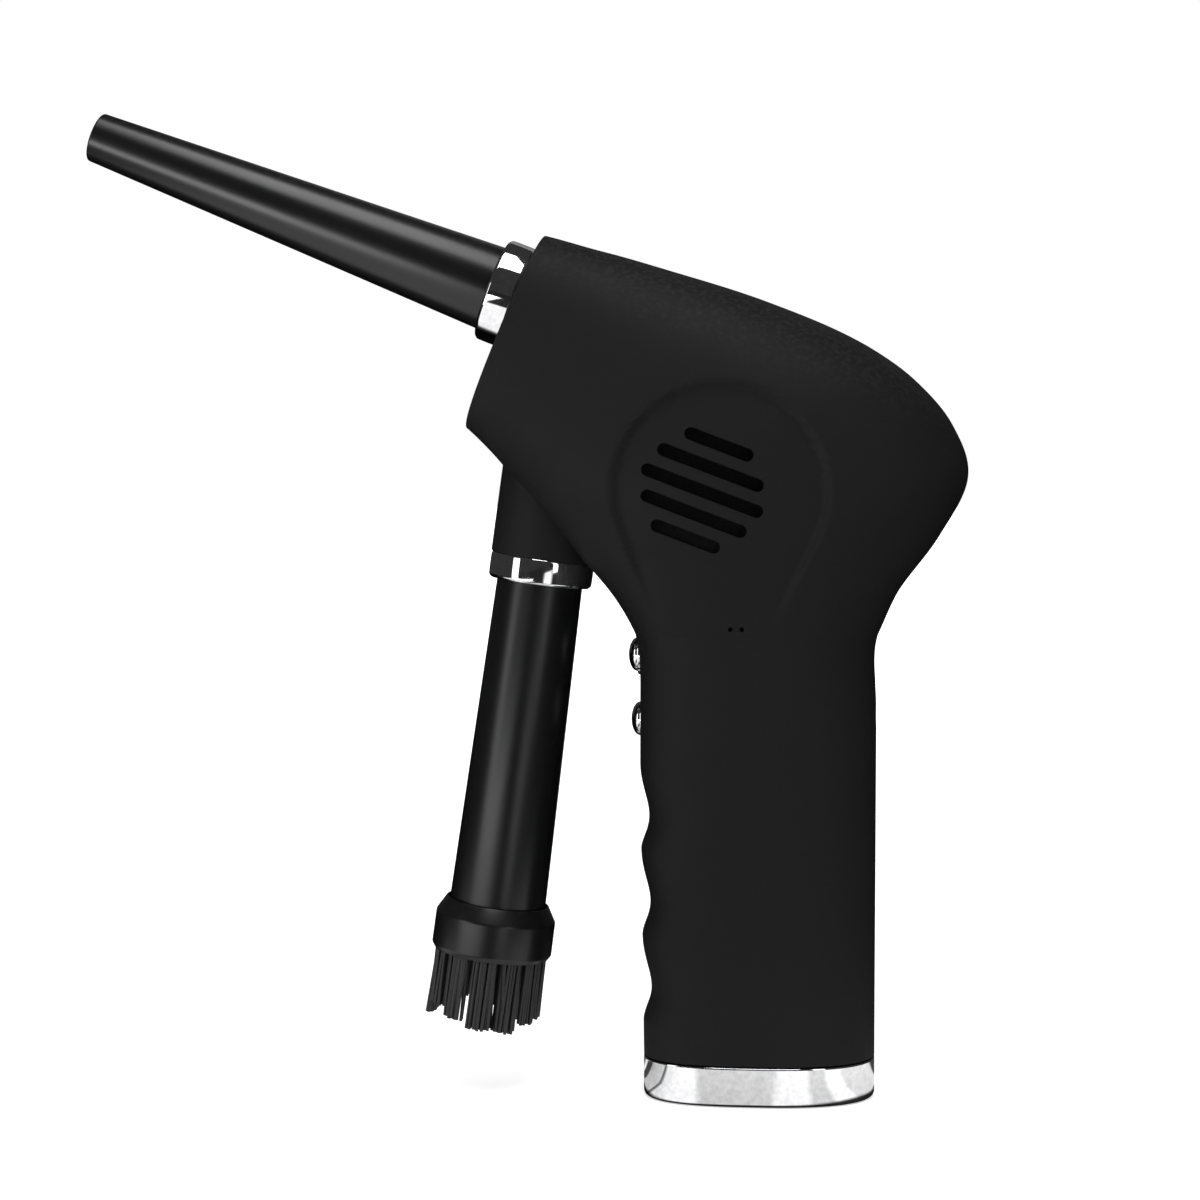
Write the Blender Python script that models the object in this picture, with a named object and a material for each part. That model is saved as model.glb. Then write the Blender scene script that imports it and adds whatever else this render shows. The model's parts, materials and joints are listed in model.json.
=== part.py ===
"""Cordless pistol air blower with a tapered nozzle and a dusting brush, as an assembly of separate parts.

Metres, +Z up. The origin is the centre of the flat foot. The nozzle points to -X and the brush hangs from a
moulded branch in front of the grip. The housing is split at the plane Y = 0: the left half is on the -Y side.
"""

import math

import bmesh
import bpy
from mathutils import Matrix, Vector

MM = 0.001

# Clearances
FIT = 0.3 * MM  # between parts that seat on each other
SEAM = 0.3 * MM  # between the two housing halves
SCREW_PLAY = 0.2 * MM  # between a screw and its hole, on the radius

# Housing shell
WALL = 2.2 * MM
GRIP_DEPTH = 50.0 * MM  # front to back at the foot
GRIP_FLARE = 0.9 * MM  # how far the grip front moves out on its way up to the buttons
GRIP_WIDTH = 32.0 * MM
GROOVE_DEPTH = 1.8 * MM  # finger grooves
GROOVE_PITCH = 19.3 * MM
GROOVE_COUNT = 3
GROOVE_FOOT = 3.3 * MM  # of the lowest groove above the shell's foot
PIVOT_REACH = 81.65 * MM  # the head's sections fan out from a line this far in front of the grip's axis
# Sections of the head: angle of the section in degrees, distance of its inner and its outer edge from the
# pivot line, and its half width, all in millimetres.
HEAD_SECTIONS = (
    (0.0, 54.4, 107.2, 18.2),
    (5.0, 52.0, 112.6, 20.4),
    (10.0, 49.8, 122.2, 23.0),
    (15.0, 48.1, 130.2, 25.2),
    (20.0, 46.2, 130.4, 26.6),
    (25.0, 44.9, 127.0, 27.0),
    (30.0, 43.9, 121.8, 26.6),
    (40.0, 43.1, 109.9, 24.2),
    (50.0, 43.5, 100.6, 20.8),
    (60.0, 45.4, 94.8, 17.6),
    (67.8, 47.8, 92.4, 15.6),
)
FACE_ROUNDING = 3.0 * MM  # edge of the front face
GRIP_FRONT_POWER = 3.0  # superellipse exponents: 2 is an ellipse, and more is boxier
GRIP_REAR_POWER = 2.4
HEAD_UNDER_POWER = 2.8
HEAD_TOP_POWER = 2.4
HEAD_BLEND = 20.0  # degrees of the head's turn in which its exponents take over from the grip's
WALL_BLEND = 10.0  # degrees of the head's turn in which a faded wall reaches its full thickness
FAN_BAY_HALF_WIDTH = 21.6 * MM  # the inside of the head is flat there, behind the vents

# Foot
RING_HEIGHT = 8.5 * MM
RING_WALL = 1.6 * MM
RING_EDGE = 0.8 * MM
FOOT_PLATE = 2.4 * MM
FOOT_SCREW_SPREAD = 10.6 * MM  # of each foot screw from the middle plane

# Cells and their holders
CELL_DIAMETER = 18.3 * MM
CELL_LENGTH = 65.0 * MM
CELL_SPACING = 1.2 * MM
HOLDER_FLOOR = 3.8 * MM
HOLDER_CUP = 2.4 * MM  # depth of the cups that the cells stand in
HOLDER_ROOF = 4.5 * MM
CELL_SHIFT = 0.5 * MM  # of the pair towards the back
CELL_EDGE = 0.5 * MM
CELL_CAP_DIAMETER = 7.7 * MM
CELL_CAP_HEIGHT = 0.9 * MM

# Electronics
BOARD_THICKNESS = 1.4 * MM
SWITCH_BOARD_SETBACK = 10.5 * MM  # of the switch board's face behind the grip's front
SWITCH_BOARD_WIDTH = 18.0 * MM
BOARD_HEIGHT = 25.4 * MM
BOARD_REACH = 2.0 * MM  # of the boards into the head, above the neck
CONTROL_BOARD_Y = 1.9 * MM  # face that carries the charging socket
CONTROL_BOARD_GAP = 3.1 * MM  # between the switch board and the control board
CONTROL_BOARD_INSET = 5.0 * MM  # of the control board from the grip's back
GUIDE_RIB = 1.2 * MM
GUIDE_GRIP = 0.8 * MM  # how far the guide ribs reach over the board's edge
SOCKET_HEIGHT = 8.9 * MM
SOCKET_THICKNESS = 3.2 * MM
SOCKET_LENGTH = 7.3 * MM
SOCKET_DROP = 14.7 * MM  # of the socket below the neck
RECESS_MARGIN = 0.9 * MM  # of the charging recess around the socket

# Buttons
BUTTON_DIAMETER = 8.8 * MM
BUTTON_DOME = 2.0 * MM
BUTTON_FLANGE = 0.9 * MM  # beyond the button's side and as thick as this
BUTTON_TRAVEL = 0.8 * MM
# How far each button is above the upper holder, and how far the grip bulges there beyond half its depth.
BUTTON_PLACES = {"upper": (18.7 * MM, 1.5 * MM), "lower": (4.7 * MM, 0.9 * MM)}
BUTTON_PLAY = 0.25 * MM
SWITCH_SIDE = 6.0 * MM
SWITCH_BODY = 3.4 * MM
PLUNGER_DIAMETER = 3.2 * MM
PLUNGER_REACH = 1.4 * MM

# Ports and their chrome rings
NOZZLE_TILT = math.radians(21.0)  # of the front port above the horizontal
BRANCH_TILT = math.radians(7.6)  # of the lower port from the vertical
FRONT_PORT_SHARE = 0.67  # how far up the head's face the front port is
LOWER_PORT_X = -48.1 * MM  # centre of the lower ring's outer face
LOWER_PORT_RISE = 9.4 * MM  # above the neck
PORT_RING_DIAMETER = 22.4 * MM
PORT_RING_LENGTH = 5.6 * MM
PORT_RING_EDGE = 1.3 * MM
PORT_RING_SINK = 0.09 * MM  # of the front ring's back below the head's face
PORT_SLEEVE_WALL = 1.5 * MM
PORT_SLEEVE_LENGTH = 3.5 * MM
PORT_SEAT_DEPTH = 1.2 * MM
BRANCH_DIAMETER = 22.2 * MM
SPIGOT_DIAMETER = 16.0 * MM
SPIGOT_WALL = 2.1 * MM
SPIGOT_LENGTH = 12.0 * MM
DUCT_WALL = 1.2 * MM

# Nozzle
NOZZLE_ROOT_DIAMETER = 18.0 * MM
NOZZLE_TIP_DIAMETER = 10.5 * MM
NOZZLE_LENGTH = 93.8 * MM
NOZZLE_WALL = 1.4 * MM

# Brush
TUBE_TOP_DIAMETER = 18.7 * MM
TUBE_END_DIAMETER = 21.2 * MM
TUBE_LENGTH = 75.0 * MM
TUBE_WALL = 1.5 * MM
COLLAR_DIAMETER = 26.5 * MM
COLLAR_LENGTH = 11.5 * MM
COLLAR_OVERLAP = 6.0 * MM  # how far the tube's end sits in the collar
COLLAR_CHAMFER = 2.2 * MM
COLLAR_LIP = 0.9 * MM
BRISTLE_GROOVE = 2.35 * MM  # width of the ring groove that holds the bristles
BRISTLE_ROOT = 3.0 * MM
BRISTLE_LENGTH = 16.0 * MM  # beyond the collar
BRISTLE_SPLAY = 0.6 * MM
TUFT_COUNT = 18
TUFT_FILL = 0.78  # share of its place round the ring that a tuft fills
TUFT_RAGGEDNESS = 0.16  # share of the bristles' length that the shortest tuft lacks
SEAL_DIAMETER = 1.2 * MM
SEAL_PLACE = 7.4 * MM  # from the port's outer face

# Fan
FAN_X = -8.0 * MM
FAN_RISE = 31.0 * MM
SCROLL_WIDTH = 24.0 * MM
SCROLL_WALL = 1.6 * MM
WHEEL_RADIUS = 19.5 * MM
WHEEL_GAP = 1.1 * MM  # from the wheel to the scroll at its narrowest
WHEEL_PLATE = 1.2 * MM
WHEEL_PLAY = 1.2 * MM  # between the wheel and the scroll's flat walls
EYE_RADIUS = 13.5 * MM
BLADE_COUNT = 14
BLADE_THICKNESS = 0.8 * MM
BLADE_ROOT_RADIUS = 12.6 * MM
BLADE_SWEEP = math.radians(34.0)
BLADE_CURL = 1.3  # power of the sweep: above 1, a blade bends back more towards its rim
OUTLET_WIDTH = 16.6 * MM
DUCT_END = 33.0 * MM  # behind the front ring's outer face
FLANGE_THICKNESS = 2.0 * MM
FLANGE_MARGIN = 1.9 * MM
POST_RADIUS = 2.5 * MM
POST_PLACES = ((22.0, 5.0), (-2.0, 28.6), (-3.0, -24.0))  # mm, in the fan's frame

# Motor, inside the wheel's hub
HUB_RADIUS = 11.5 * MM
HUB_WALL = 1.0 * MM
HUB_END = 1.5 * MM  # thickness of the hub's end, which the shaft goes through
HUB_LENGTH = 12.0 * MM
MAGNET_THICKNESS = 1.1 * MM
AIR_GAP = 0.4 * MM
STATOR_LENGTH = 6.0 * MM
STATOR_RISE = 4.4 * MM  # above the scroll's floor
POLE_COUNT = 6
POLE_NECK = 1.8 * MM
POLE_TIP = 1.2 * MM
BEARING_TUBE_RADIUS = 3.9 * MM
BEARING_TUBE_LENGTH = 11.5 * MM
BEARING_RADIUS = 2.7 * MM
BEARING_WIDTH = 2.3 * MM
SHAFT_RADIUS = 1.1 * MM

# Vents, in the plane of the head's side
VENT_X = -11.75 * MM
VENT_RISE = 31.1 * MM
VENT_TILT = math.radians(-20.8)
VENT_WIDTH = 2.7 * MM
VENT_PITCH = 5.07 * MM
VENT_LEAN = math.radians(0.7)
VENT_LENGTHS = (12.4, 20.7, 24.1, 20.6, 12.5)  # mm between the end centres, from the top down
SHIELD_DEPTH = 1.3 * MM
SHIELD_RADIUS = 23.0 * MM
SHIELD_POINT_FORWARD = 12.65 * MM  # of the fan's axis
SHIELD_POINT_DROP = 28.75 * MM  # below the fan's axis
SHIELD_POINT_WIDTH = 5.75 * MM
FILTER_RADIUS = 13.8 * MM
FILTER_THICKNESS = 1.5 * MM
PINHOLE_DIAMETER = 1.0 * MM
PINHOLE_X = (-6.0 * MM, -3.6 * MM)
PINHOLE_RISE = 2.0 * MM

# Screws
BOSS_RADIUS = 3.1 * MM
SCREW_HEAD_RADIUS = 2.1 * MM
SCREW_HEAD_HEIGHT = 1.5 * MM
SCREW_HEAD_EDGE = 0.4 * MM
SCREW_SHANK_RADIUS = 1.1 * MM
SCREW_LENGTH = 11.0 * MM
SCREW_SEAT_Y = 4.0 * MM
HOUSING_SCREWS = {  # x and height above the neck in mm
    "top": (18.0, 58.5),
    "rear": (37.0, 33.0),
    "neck": (20.0, 7.0),
    "inner": (-25.0, 6.0),
    "front": (-55.8, 48.3),
}
BOARD_SCREW_INSETS = (4.0 * MM, 9.0 * MM)  # upper one from the control board's front, lower one from its back
BOARD_SCREW_RISES = (20.4 * MM, 3.9 * MM)  # above the upper holder
BOARD_SCREW_LENGTH = 5.0 * MM
FOOT_SCREW_LENGTH = 8.0 * MM

# Facets
WELD = 0.002 * MM  # points nearer than this are one
FLAT = math.radians(0.2)  # faces that meet flatter than this are one
SECTION_POINTS = 28
ROUND_POINTS = 28
SMALL_ROUND_POINTS = 12
TINY_ROUND_POINTS = 8
TUFT_SIDES = 5

# Places that follow from the above
SWITCH_BOARD_X = SWITCH_BOARD_SETBACK - GRIP_DEPTH / 2
CONTROL_BOARD_FRONT = SWITCH_BOARD_X + BOARD_THICKNESS + CONTROL_BOARD_GAP
CONTROL_BOARD_BACK = GRIP_DEPTH / 2 - CONTROL_BOARD_INSET
CELL_FOOT = FOOT_PLATE + FIT + HOLDER_FLOOR + FIT
CELL_TOP = CELL_FOOT + CELL_LENGTH
UPPER_HOLDER_TOP = CELL_TOP + FIT + HOLDER_ROOF
NECK = UPPER_HOLDER_TOP + BOARD_HEIGHT - BOARD_REACH
BOARD_SCREWS = {  # x and z
    "upper": (CONTROL_BOARD_FRONT + BOARD_SCREW_INSETS[0], UPPER_HOLDER_TOP + BOARD_SCREW_RISES[0]),
    "lower": (CONTROL_BOARD_BACK - BOARD_SCREW_INSETS[1], UPPER_HOLDER_TOP + BOARD_SCREW_RISES[1]),
}
SHELL_FOOT = RING_HEIGHT + FIT
GROOVE_TOP = NECK - SHELL_FOOT - GROOVE_FOOT - GROOVE_COUNT * GROOVE_PITCH  # below the neck
SPIGOT_FOOT = FOOT_PLATE + FIT
SPIGOT_BORE_RADIUS = SPIGOT_DIAMETER / 2 + FIT
PORT_SLEEVE_RADIUS = SPIGOT_BORE_RADIUS + PORT_SLEEVE_WALL
DUCT_RADIUS = SPIGOT_BORE_RADIUS + DUCT_WALL
DUCT_START = PORT_RING_LENGTH + PORT_SLEEVE_LENGTH + FIT


def frame_along(origin, direction):
    """A frame at origin whose Z axis points along direction, which lies in the plane Y = 0."""
    z_axis = Vector(direction).normalized()
    x_axis = Vector((0, 1, 0))
    y_axis = z_axis.cross(x_axis)
    return Matrix.Translation(origin) @ Matrix((x_axis, y_axis, z_axis)).transposed().to_4x4()


# The front port's origin is the centre of its ring's outer face, the lower port's likewise.
FACE_TURN = math.radians(HEAD_SECTIONS[-1][0])
FACE_REACH = (HEAD_SECTIONS[-1][1] * (1 - FRONT_PORT_SHARE) + HEAD_SECTIONS[-1][2] * FRONT_PORT_SHARE) * MM
FACE_UP = Vector((math.cos(FACE_TURN), 0, math.sin(FACE_TURN)))
FACE_OUT = Vector((-math.sin(FACE_TURN), 0, math.cos(FACE_TURN)))
FRONT_PORT = frame_along(
    Vector((-PIVOT_REACH, 0, NECK)) + FACE_UP * FACE_REACH + FACE_OUT * (PORT_RING_LENGTH - PORT_RING_SINK),
    (-math.cos(NOZZLE_TILT), 0, math.sin(NOZZLE_TILT)),
)
LOWER_PORT = frame_along(
    (LOWER_PORT_X, 0, NECK + LOWER_PORT_RISE), (-math.sin(BRANCH_TILT), 0, -math.cos(BRANCH_TILT))
)
# The fan's frame: Z towards the left side, X backwards along the nozzle, Y across it and up.
FAN = Matrix.Translation((FAN_X, 0, NECK + FAN_RISE)) @ Matrix((
    (math.cos(NOZZLE_TILT), math.sin(NOZZLE_TILT), 0),
    (0, 0, -1),
    (-math.sin(NOZZLE_TILT), math.cos(NOZZLE_TILT), 0),
)).to_4x4()
SIDE = Matrix(((1, 0, 0), (0, 0, -1), (0, 1, 0))).to_4x4()  # X stays, Y is up, Z is towards the left side
FORWARD = Matrix(((0, 0, -1), (-1, 0, 0), (0, 1, 0))).to_4x4()  # Z towards the front, Y is up

PORT_IN_FAN = FAN.inverted() @ FRONT_PORT.translation
OUTLET_FACE = PORT_IN_FAN.x + DUCT_END + FIT  # negative: the scroll's outlet, in the fan's frame
OUTLET_CENTRE = PORT_IN_FAN.y
SCROLL_NARROW = WHEEL_RADIUS + WHEEL_GAP
SCROLL_WIDE = OUTLET_CENTRE + OUTLET_WIDTH / 2


# ---------------------------------------------------------------- modelling helpers


def clear_scene():
    for obj in list(bpy.data.objects):
        bpy.data.objects.remove(obj)


def material(name, colour, roughness, metallic=0.0):
    """A Principled material; one with this name is reused."""
    made = bpy.data.materials.get(name)
    if made is None:
        made = bpy.data.materials.new(name)
        made.use_nodes = True
        shader = made.node_tree.nodes["Principled BSDF"]
        shader.inputs["Base Color"].default_value = (*colour, 1.0)
        shader.inputs["Roughness"].default_value = roughness
        shader.inputs["Metallic"].default_value = metallic
    return made


def add_object(name, shape, frame=None):
    """Puts the bmesh shape, which is in frame's coordinates, into the scene as an object."""
    bmesh.ops.recalc_face_normals(shape, faces=shape.faces)
    mesh = bpy.data.meshes.new(name)
    shape.to_mesh(mesh)
    shape.free()
    obj = bpy.data.objects.new(name, mesh)
    bpy.context.collection.objects.link(obj)
    obj.matrix_world = frame if frame is not None else Matrix()
    return obj


def bake(obj):
    """Replaces the object's mesh by what its modifiers make of it."""
    bpy.context.view_layer.update()
    graph = bpy.context.evaluated_depsgraph_get()
    baked = bpy.data.meshes.new_from_object(obj.evaluated_get(graph))
    shape = bmesh.new()
    shape.from_mesh(baked)
    bmesh.ops.dissolve_degenerate(shape, edges=shape.edges, dist=WELD)
    bmesh.ops.dissolve_limit(shape, angle_limit=FLAT, verts=shape.verts, edges=shape.edges)
    bmesh.ops.triangulate(shape, faces=shape.faces)
    shape.to_mesh(baked)
    shape.free()
    obj.modifiers.clear()
    obj.data = baked


def combine(obj, operation, *tools):
    """Applies one exact Boolean with all the tools together, and removes them."""
    group = bpy.data.collections.new("tools")
    for tool in tools:
        group.objects.link(tool)
    modifier = obj.modifiers.new(operation.lower(), "BOOLEAN")
    modifier.operation = operation
    modifier.operand_type = "COLLECTION"
    modifier.collection = group
    bake(obj)
    for tool in tools:
        bpy.data.objects.remove(tool)
    bpy.data.collections.remove(group)
    return obj


def cut(obj, *tools):
    return combine(obj, "DIFFERENCE", *tools)


def join(obj, *tools):
    return combine(obj, "UNION", *tools)


def keep_inside(obj, *tools):
    return combine(obj, "INTERSECT", *tools)


def finish(obj, name, look, crease=math.radians(35)):
    """Names a finished part, gives it its material and shades its round faces smooth."""
    obj.name = name
    obj.data.name = name
    obj.data.materials.clear()
    obj.data.materials.append(look)
    obj.data.shade_smooth()
    obj.data.set_sharp_from_angle(angle=crease)
    return obj


def loft(name, rings, closed=False):
    """A solid through rings of equally many points, capped at both ends, or closed into a loop of rings."""
    shape = bmesh.new()
    rows = [[shape.verts.new(point) for point in ring] for ring in rings]
    pairs = list(zip(rows, rows[1:]))
    if closed:
        pairs.append((rows[-1], rows[0]))
    else:
        shape.faces.new(rows[0])
        shape.faces.new(rows[-1])
    for low, high in pairs:
        for k in range(len(low)):
            after = (k + 1) % len(low)
            shape.faces.new((low[k], low[after], high[after], high[k]))
    bmesh.ops.triangulate(shape, faces=[face for face in shape.faces if len(face.verts) == 4])
    return add_object(name, shape)


def turned(name, profile, frame=None, segments=ROUND_POINTS):
    """Turns a profile of (radius, height) points about the frame's Z axis.

    A profile that begins and ends on the axis is open, and any other is closed into a ring.
    """
    shape = bmesh.new()
    rows = []
    for radius, height in profile:
        if radius == 0:
            rows.append([shape.verts.new((0, 0, height))])
            continue
        row = []
        for k in range(segments):
            angle = math.tau * k / segments
            row.append(shape.verts.new((radius * math.cos(angle), radius * math.sin(angle), height)))
        rows.append(row)
    pairs = list(zip(rows, rows[1:]))
    if len(rows[0]) > 1:
        pairs.append((rows[-1], rows[0]))
    for low, high in pairs:
        for k in range(segments):
            after = (k + 1) % segments
            corners = [low[k % len(low)], low[after % len(low)], high[after % len(high)], high[k % len(high)]]
            shape.faces.new(dict.fromkeys(corners))
    return add_object(name, shape, frame)


def cylinder(name, radius, low, high, frame=None, segments=ROUND_POINTS):
    return turned(name, ((0, low), (radius, low), (radius, high), (0, high)), frame, segments)


def tube(name, outer, inner, low, high, frame=None, segments=ROUND_POINTS):
    return turned(name, ((outer, low), (outer, high), (inner, high), (inner, low)), frame, segments)


def prism(name, outline, low, high, frame=None):
    """A flat outline of (x, y) points, extruded along Z from low to high."""
    shape = bmesh.new()
    face = shape.faces.new([shape.verts.new((x, y, low)) for x, y in outline])
    moved = bmesh.ops.extrude_face_region(shape, geom=[face])["geom"]
    verts = [item for item in moved if isinstance(item, bmesh.types.BMVert)]
    bmesh.ops.translate(shape, verts=verts, vec=(0, 0, high - low))
    return add_object(name, shape, frame)


def box(name, low, high, frame=None):
    outline = ((low[0], low[1]), (high[0], low[1]), (high[0], high[1]), (low[0], high[1]))
    return prism(name, outline, low[2], high[2], frame)


def soften(obj, width, segments=1):
    """Bevels the sharp edges of a part."""
    bevel = obj.modifiers.new("edges", "BEVEL")
    bevel.width = width
    bevel.segments = segments
    bevel.limit_method = "ANGLE"
    bevel.angle_limit = math.radians(50)
    bake(obj)
    return obj


def arc(centre, radius, start, end, steps):
    """Points on a circle, angles in radians from the X axis."""
    angles = [start + (end - start) * k / steps for k in range(steps + 1)]
    return [(centre[0] + radius * math.cos(a), centre[1] + radius * math.sin(a)) for a in angles]


def obround(centre, spread, radius, tilt, steps=6):
    """The outline of a slot whose end centres lie spread apart along the direction tilt."""
    across = (spread / 2 * math.cos(tilt), spread / 2 * math.sin(tilt))
    right = (centre[0] + across[0], centre[1] + across[1])
    left = (centre[0] - across[0], centre[1] - across[1])
    quarter = math.pi / 2
    outline = arc(right, radius, tilt - quarter, tilt + quarter, steps)
    return outline + arc(left, radius, tilt + quarter, tilt + 3 * quarter, steps)


def rounded_end(radius, low, high, edge, steps=3):
    """Profile points of a disc's side from low up to a high end whose edge is rounded."""
    points = [(radius, low)]
    for k in range(steps + 1):
        angle = math.pi / 2 * k / steps
        points.append((radius - edge * (1 - math.cos(angle)), high - edge * (1 - math.sin(angle))))
    return points


# ---------------------------------------------------------------- housing


def section(inner, outer, half_width, powers, inset=0.0, groove=0.0):
    """One ring of the housing, in the plane that holds inner, outer and the Y axis.

    u = reach * sign(cos a) * |cos a|^(2/p) and y = width * sign(sin a) * |sin a|^(2/p), a superellipse whose
    exponent p differs between the inner and the outer half. A groove pushes only the inner side in.
    """
    along = (outer - inner).normalized()
    centre = (inner + outer) / 2
    reach = (outer - inner).length / 2 - inset
    width = half_width - inset
    ring = []
    for k in range(SECTION_POINTS):
        angle = math.tau * k / SECTION_POINTS
        cosine, sine = math.cos(angle), math.sin(angle)
        power = powers[1] if cosine > 0 else powers[0]
        u = reach * math.copysign(abs(cosine) ** (2 / power), cosine)
        u += groove * max(0.0, -cosine) ** 2
        y = width * math.copysign(abs(sine) ** (2 / power), sine)
        ring.append(centre + along * u + Vector((0, y, 0)))
    return ring


def groove_at(height):
    """Depth of the finger grooves at a height: arched valleys with a ridge between each two."""
    below = (NECK - GROOVE_TOP - height) / GROOVE_PITCH
    if not 0 < below < GROOVE_COUNT:
        return 0.0
    return GROOVE_DEPTH * abs(math.sin(math.pi * below))


def grip_front(height):
    """The grip's front edge leans forward a little on its way up."""
    share = (height - SHELL_FOOT) / (NECK - GROOVE_TOP - SHELL_FOOT)
    return -GRIP_DEPTH / 2 - GRIP_FLARE * min(1.0, max(0.0, share))


def grip_ring(height, inset=0.0, groove=0.0):
    front = Vector((grip_front(height), 0, height))
    rear = Vector((GRIP_DEPTH / 2, 0, height))
    return section(front, rear, GRIP_WIDTH / 2, (GRIP_FRONT_POWER, GRIP_REAR_POWER), inset, groove)


def smooth_step(low, high, value):
    share = min(1.0, max(0.0, (value - low) / (high - low)))
    return share * share * (3 - 2 * share)


def blended_row(rows, place):
    """A row of the section table at a fractional index, on a smooth curve through the rows."""
    index = min(int(place), len(rows) - 2)
    share = place - index
    picked = [rows[min(max(index + k, 0), len(rows) - 1)] for k in (-1, 0, 1, 2)]
    weights = (
        ((-share + 2) * share - 1) * share / 2,
        ((3 * share - 5) * share * share + 2) / 2,
        ((-3 * share + 4) * share + 1) * share / 2,
        (share - 1) * share * share / 2,
    )
    return [sum(w * row[k] for w, row in zip(weights, picked)) for k in range(len(rows[0]))]


def head_ring(row, inset=0.0, back=0.0):
    """One ring of the head from a row of HEAD_SECTIONS, moved back from the front by a distance."""
    angle = math.radians(row[0])
    ray = Vector((math.cos(angle), 0, math.sin(angle)))
    normal = Vector((math.sin(angle), 0, -math.cos(angle)))
    pivot = Vector((-PIVOT_REACH, 0, NECK)) + normal * back
    blend = smooth_step(0, HEAD_BLEND, row[0])
    powers = (
        GRIP_FRONT_POWER + (HEAD_UNDER_POWER - GRIP_FRONT_POWER) * blend,
        GRIP_REAR_POWER + (HEAD_TOP_POWER - GRIP_REAR_POWER) * blend,
    )
    return section(pivot + ray * row[1] * MM, pivot + ray * row[2] * MM, row[3] * MM, powers, inset)


def head_rings(inset, end_inset, steps=2, fade=False):
    """The head's rings from the neck to the front face. With fade, the inset grows up from the neck."""
    rings = []
    for place in (k / steps for k in range((len(HEAD_SECTIONS) - 1) * steps)):
        row = blended_row(HEAD_SECTIONS, place)
        depth = inset * smooth_step(0, WALL_BLEND, row[0]) if fade else inset
        rings.append(head_ring(row, depth))
    last = HEAD_SECTIONS[-1]
    for k in range(3):
        angle = math.pi / 2 * k / 2
        edge = FACE_ROUNDING * (1 - math.cos(angle))
        rings.append(head_ring(last, inset + edge, end_inset + FACE_ROUNDING * (1 - math.sin(angle))))
    return rings


def outer_body():
    """The solid outside shape of the two halves together, with the rebate for the foot ring."""
    rebate = RING_WALL + FIT
    rings = [grip_ring(SPIGOT_FOOT, rebate), grip_ring(SHELL_FOOT, rebate), grip_ring(SHELL_FOOT)]
    groove_foot = NECK - GROOVE_TOP - GROOVE_COUNT * GROOVE_PITCH
    steps_each = 4
    for k in range(GROOVE_COUNT * steps_each + 1):
        height = groove_foot + GROOVE_PITCH * k / steps_each
        rings.append(grip_ring(height, groove=groove_at(height)))
    rings.append(grip_ring(NECK - GROOVE_TOP / 2))
    rings.append(grip_ring(NECK - GROOVE_TOP / 4))
    return loft("outer_body", rings + head_rings(0.0, 0.0))


def inner_space():
    """What is taken out of the solid body: the same form, one wall smaller."""
    top_of_grooves = NECK - GROOVE_TOP
    rings = [
        grip_ring(0.0, WALL + RING_WALL + FIT),
        grip_ring(SHELL_FOOT + WALL, WALL + RING_WALL + FIT),
        grip_ring(SHELL_FOOT + 2 * WALL, WALL, GROOVE_DEPTH),
        grip_ring(top_of_grooves, WALL, GROOVE_DEPTH),
        grip_ring(top_of_grooves + GROOVE_DEPTH, WALL),
        grip_ring(NECK - GROOVE_TOP / 4, WALL),
    ]
    space = loft("inner_space", rings + head_rings(WALL, WALL, steps=1))
    reach = PIVOT_REACH * 2
    half = FAN_BAY_HALF_WIDTH
    return keep_inside(space, box("fan_bay", (-reach, -half, -reach), (reach, half, reach + NECK)))


def shield_outline():
    """The recess around the vents: a round shield whose point runs down towards the grip."""
    centre = (FAN_X, NECK + FAN_RISE)
    outline = arc(centre, SHIELD_RADIUS, math.radians(-42), math.radians(222), 20)
    point = (FAN_X - SHIELD_POINT_FORWARD, NECK + FAN_RISE - SHIELD_POINT_DROP)
    return outline + [point, (point[0] + SHIELD_POINT_WIDTH, point[1])]


def shield_cutter():
    """The slice of the head, SHIELD_DEPTH thick from its surface in, that lies within the shield."""
    reach = PIVOT_REACH
    slab = prism("shield", shield_outline(), -reach, reach, SIDE)
    foot = grip_ring(NECK - GROOVE_TOP)
    return cut(slab, loft("shield_floor", [foot] + head_rings(SHIELD_DEPTH, 0.0, fade=True)))


def vent_cutters():
    """Five slanted slots through both sides, stacked across their length."""
    middle = (len(VENT_LENGTHS) - 1) / 2
    down = VENT_TILT - math.pi / 2 + VENT_LEAN
    cutters = []
    for k, length in enumerate(VENT_LENGTHS):
        shift = (k - middle) * VENT_PITCH
        centre = (VENT_X + shift * math.cos(down), NECK + VENT_RISE + shift * math.sin(down))
        outline = obround(centre, length * MM, VENT_WIDTH / 2, VENT_TILT)
        cutters.append(prism("vent", outline, -PIVOT_REACH, PIVOT_REACH, SIDE))
    return cutters


def branch():
    """The moulded branch that carries the lower port, up into the head."""
    return cylinder("branch", BRANCH_DIAMETER / 2, -1.8 * PORT_RING_DIAMETER, -PORT_RING_LENGTH, LOWER_PORT)


def port_cutters():
    """Bores for the duct, with a wider seat for each ring's sleeve and a flat spot under the front ring."""
    seat = PORT_SLEEVE_RADIUS + FIT
    bore = DUCT_RADIUS + FIT
    seat_end = -DUCT_START
    spot = PORT_RING_DIAMETER / 2 + FIT
    front = turned("front_bore", (
        (0, seat_end - WALL), (seat, seat_end - WALL), (seat, -PORT_RING_LENGTH), (spot, -PORT_RING_LENGTH),
        (spot, WALL), (0, WALL),
    ), FRONT_PORT)
    low = turned("lower_bore", (
        (0, WALL), (seat, WALL), (seat, seat_end), (bore, seat_end), (bore, -1.5 * PORT_RING_DIAMETER),
        (0, -1.5 * PORT_RING_DIAMETER),
    ), LOWER_PORT)
    return front, low


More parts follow.
